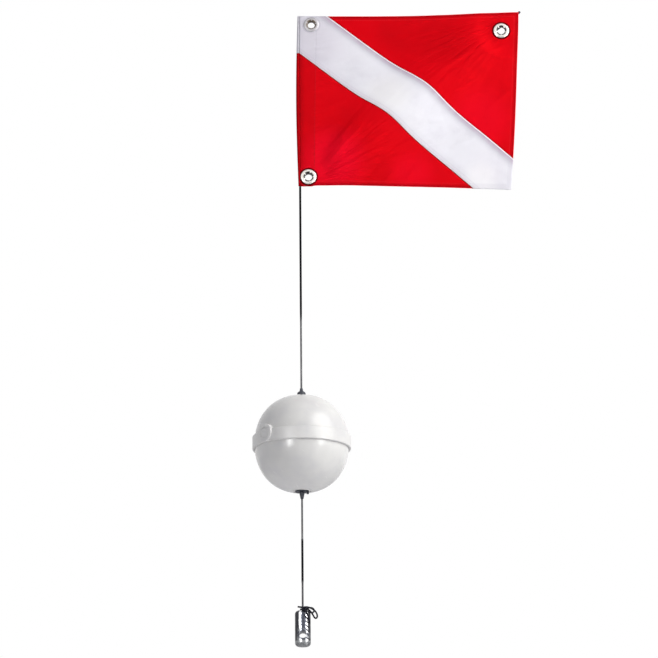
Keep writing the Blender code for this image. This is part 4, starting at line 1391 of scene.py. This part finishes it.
# How deep each eyelet's barrel goes: through the folded sleeve, or one cloth
for corner, deep, aged, phase in (
    ("head", 6.8 * mm, 0.85, 0.4),
    ("heel", 6.8 * mm, 0.0, 1.9),
    ("peak", 2.2 * mm, 0.0, 3.3),
):
    place = eyeletPlaces[corner]
    finish = eyeletFinish(f"{corner}Nickel", aged, phase)
    tail = -deep - 0.5 * mm
    front = [(flange - 0.2 * mm, 0.0)]
    front += arc((flange - 0.3 * mm, 0.3 * mm), 0.3 * mm, 0, 90, 3)
    front += [(ringMiddle + 2.2 * mm, crown)]
    for turn in range(30, 151, 15):
        bulge = math.radians(turn)
        front.append((ringMiddle + 2.2 * mm * math.cos(bulge), crown + 0.6 * mm * math.sin(bulge)))
    front += arc((hole + roll, crown - roll), roll, 105, 180, 8)
    front += [(hole, tail + 0.4 * mm), (hole + 0.4 * mm, tail), (lip - 0.2 * mm, tail)]
    front += [(lip, tail + 0.2 * mm), (lip, -deep), (barrel, -deep), (barrel, 0.0)]
    inner = barrel + 0.3 * mm
    thick = eyelet["washerThick"]
    back = [(inner, 0.0), (13.2 * mm, 0.0), (13.2 * mm, thick), (inner, thick)]
    for kind, profile, depth in (
        ("Eyelet", front, 0.0),
        ("Washer", roundedProfile(back, 0.2 * mm, 3), deep - 0.3 * mm),
    ):
        node = f"{corner}_{kind.lower()}"
        ring = spun(f"{corner}{kind}", profile, 72, "flag", finish, "eyelet", node)
        ringPlace = Matrix.Translation((place.x, eyelet["front"] + depth, place.z))
        ring.matrix_world = ringPlace @ faceForward
print("eyelets made")


# Stiffener rod behind the cloth, with its caps and pockets: the solids, newly finished

rodFinish = newMaterial("rodFibre", (0.07, 0.07, 0.075), 0.35)
fibre = grain(objectSpot(), 500, 4, 0.6)
give("Base Color", mixed(smooth(fibre, 0.4, 0.7), (0.045, 0.045, 0.05), (0.13, 0.13, 0.14)))
bumped(fibre, 0.04 * mm, 0.5)
refinish("stiffener_rod", rodFinish)
refinish("heel_rod_cap", rubberFinish)
refinish("peak_rod_cap", rubberFinish)

pocket = {
    "cornerShare": 0.62,
    "rows": 40,
    "halfSteps": 24,
    **inMm(
        halfWidth=12.5, rodRadius=1.2, capRadius=2.1, rodLift=3.1, thick=0.5, heelStart=48.0,
        heelLength=34.0, peakStart=10.0, peakLength=20.0,
    ),
}


# How far behind the mast's plane the rod's middle is, along the rod
def rodBehind(along):
    nearPeak = (along - (peakCorner.length - 110 * mm)) / (55 * mm)
    bow = flag["ridgeDepth"] * math.sin(math.pi * min(1, along / rodSpan))
    bow *= smoothStep((rodWay.x * along - flag["sleeveHead"]) / flag["hoistFade"])
    return clothY - bow + pocket["rodLift"] + 1.8 * mm * smoothStep(nearPeak)


# Sews a pocket over the rod; a shut one comes down to the cloth at its start
def makePocket(name, node, start, length, held, shut, halfWidthAt):
    def pocketPoint(along, aside, opened):
        place = rodWay * along + rodSide * aside
        against = clothY - clothRise(place) - foldsAt(*place) + 1.05 * mm
        crest = rodBehind(along) + held + 0.8 * mm
        side = held + 1.1 * mm
        arch = 1 - smoothStep((abs(aside) - side * 0.75) / side)
        fray = 0.18 * mm * noiseAt(along * 180, aside * 180, 21)
        y = against + max(0, crest - against) * arch * opened + fray
        return Vector((place.x, y, flag["foot"] + place.y))

    rows = []
    for i in range(pocket["rows"] + 1):
        share = i / pocket["rows"]
        along = start + length * share
        opened = smoothStep(share * 3.5) if shut else 1.0
        half = halfWidthAt(along)
        steps = pocket["halfSteps"]
        rows.append([(along, half * (k / steps - 1), opened) for k in range(2 * steps + 1)])
    made = sewn(name, [rows], pocketPoint, redBack, node, pocket["thick"])


def heelHalf(along):
    return min(pocket["halfWidth"], along - pocket["heelStart"] + pocket["halfWidth"] * 2 / 3)


def peakHalf(along):
    return min(pocket["halfWidth"], (peakCorner.length - along) * pocket["cornerShare"])


heel = (pocket["heelStart"], pocket["heelLength"], pocket["capRadius"], True, heelHalf)
makePocket("heelPocket", "heel_pocket", *heel)
peakStart = peakCorner.length - pocket["peakStart"] - pocket["peakLength"]
peak = (peakStart, pocket["peakLength"], pocket["rodRadius"], False, peakHalf)
makePocket("peakPocket", "peak_pocket", *peak)
print("rod, caps and pockets made")


# Studio: white all round, a soft key from the upper right, and a pale floor below

world = bpy.data.worlds.new("studio")
scene.world = world
world.use_nodes = True
tree = world.node_tree
tree.nodes.clear()
rays = newNode("LightPath").outputs
fill = newNode("Background", {"Color": (0.95, 0.945, 1.0), "Strength": 0.355}).outputs[0]
plain = newNode("Background", {"Color": (1.0, 1.0, 1.0), "Strength": 1.0}).outputs[0]
seen = larger(rays["Is Camera Ray"], rays["Is Glossy Ray"])
seen = larger(seen, rays["Is Transmission Ray"])
chosen = newNode("MixShader", {0: seen, 1: fill, 2: plain}).outputs[0]
newNode("OutputWorld", {"Surface": chosen})


def softLamp(name, place, target, size, power, color=(1.0, 1.0, 1.0), spread=180):
    data = bpy.data.lights.new(name, "AREA")
    data.shape = "DISK"
    data.size = size
    data.energy = power
    data.color = color
    data.spread = math.radians(spread)
    made = linked(name, data)
    made.location = place
    made.rotation_euler = (Vector(target) - Vector(place)).to_track_quat("-Z", "Y").to_euler()
    return made


# A tall pale window that shows in glossy surfaces alone
def glossWindow(name, place, width, height, power):
    made = softLamp(name, place, (0.0, 0.0, place[2]), width, power)
    made.data.shape = "RECTANGLE"
    made.data.size_y = height
    made.visible_diffuse = False


softLamp("keyLamp", (2.45, -1.60, 1.75), (0.05, 0.0, 0.15), 3.0, 97.0, (1.0, 0.995, 0.975))
glossWindow("leftWindow", (-1.42, -2.62, 0.27), 0.62, 1.28, 39.0)
glossWindow("rightWindow", (2.22, -2.00, 0.42), 0.75, 1.30, 27.0)
# Low light from the right for the flag alone, across the run of its folds
softLamp("flagLamp", (2.1, -2.2, -0.9), (0.25, 0.0, 0.58), 0.8, 0.45, spread=26)

floorFinish = newMaterial("floorPale", (0.84, 0.84, 0.85), 0.8)
speck = grain(objectSpot(), 4, 3)
give("Base Color", mixed(speck, (0.82, 0.82, 0.83), (0.86, 0.86, 0.87)))
give("Emission Color", (1.0, 1.0, 1.0))
give("Emission Strength", 0.13)
bm = bmesh.new()
floorPlace = Matrix.Translation((0, 0, cameraPlace.z - 0.35))
bmesh.ops.create_grid(bm, x_segments=8, y_segments=8, size=60.0, matrix=floorPlace)
floor = linked("floor", hardMesh(bm, "floor"))
floor.data.materials.append(floorFinish)

scene.view_settings.view_transform = "Standard"
print("studio made")
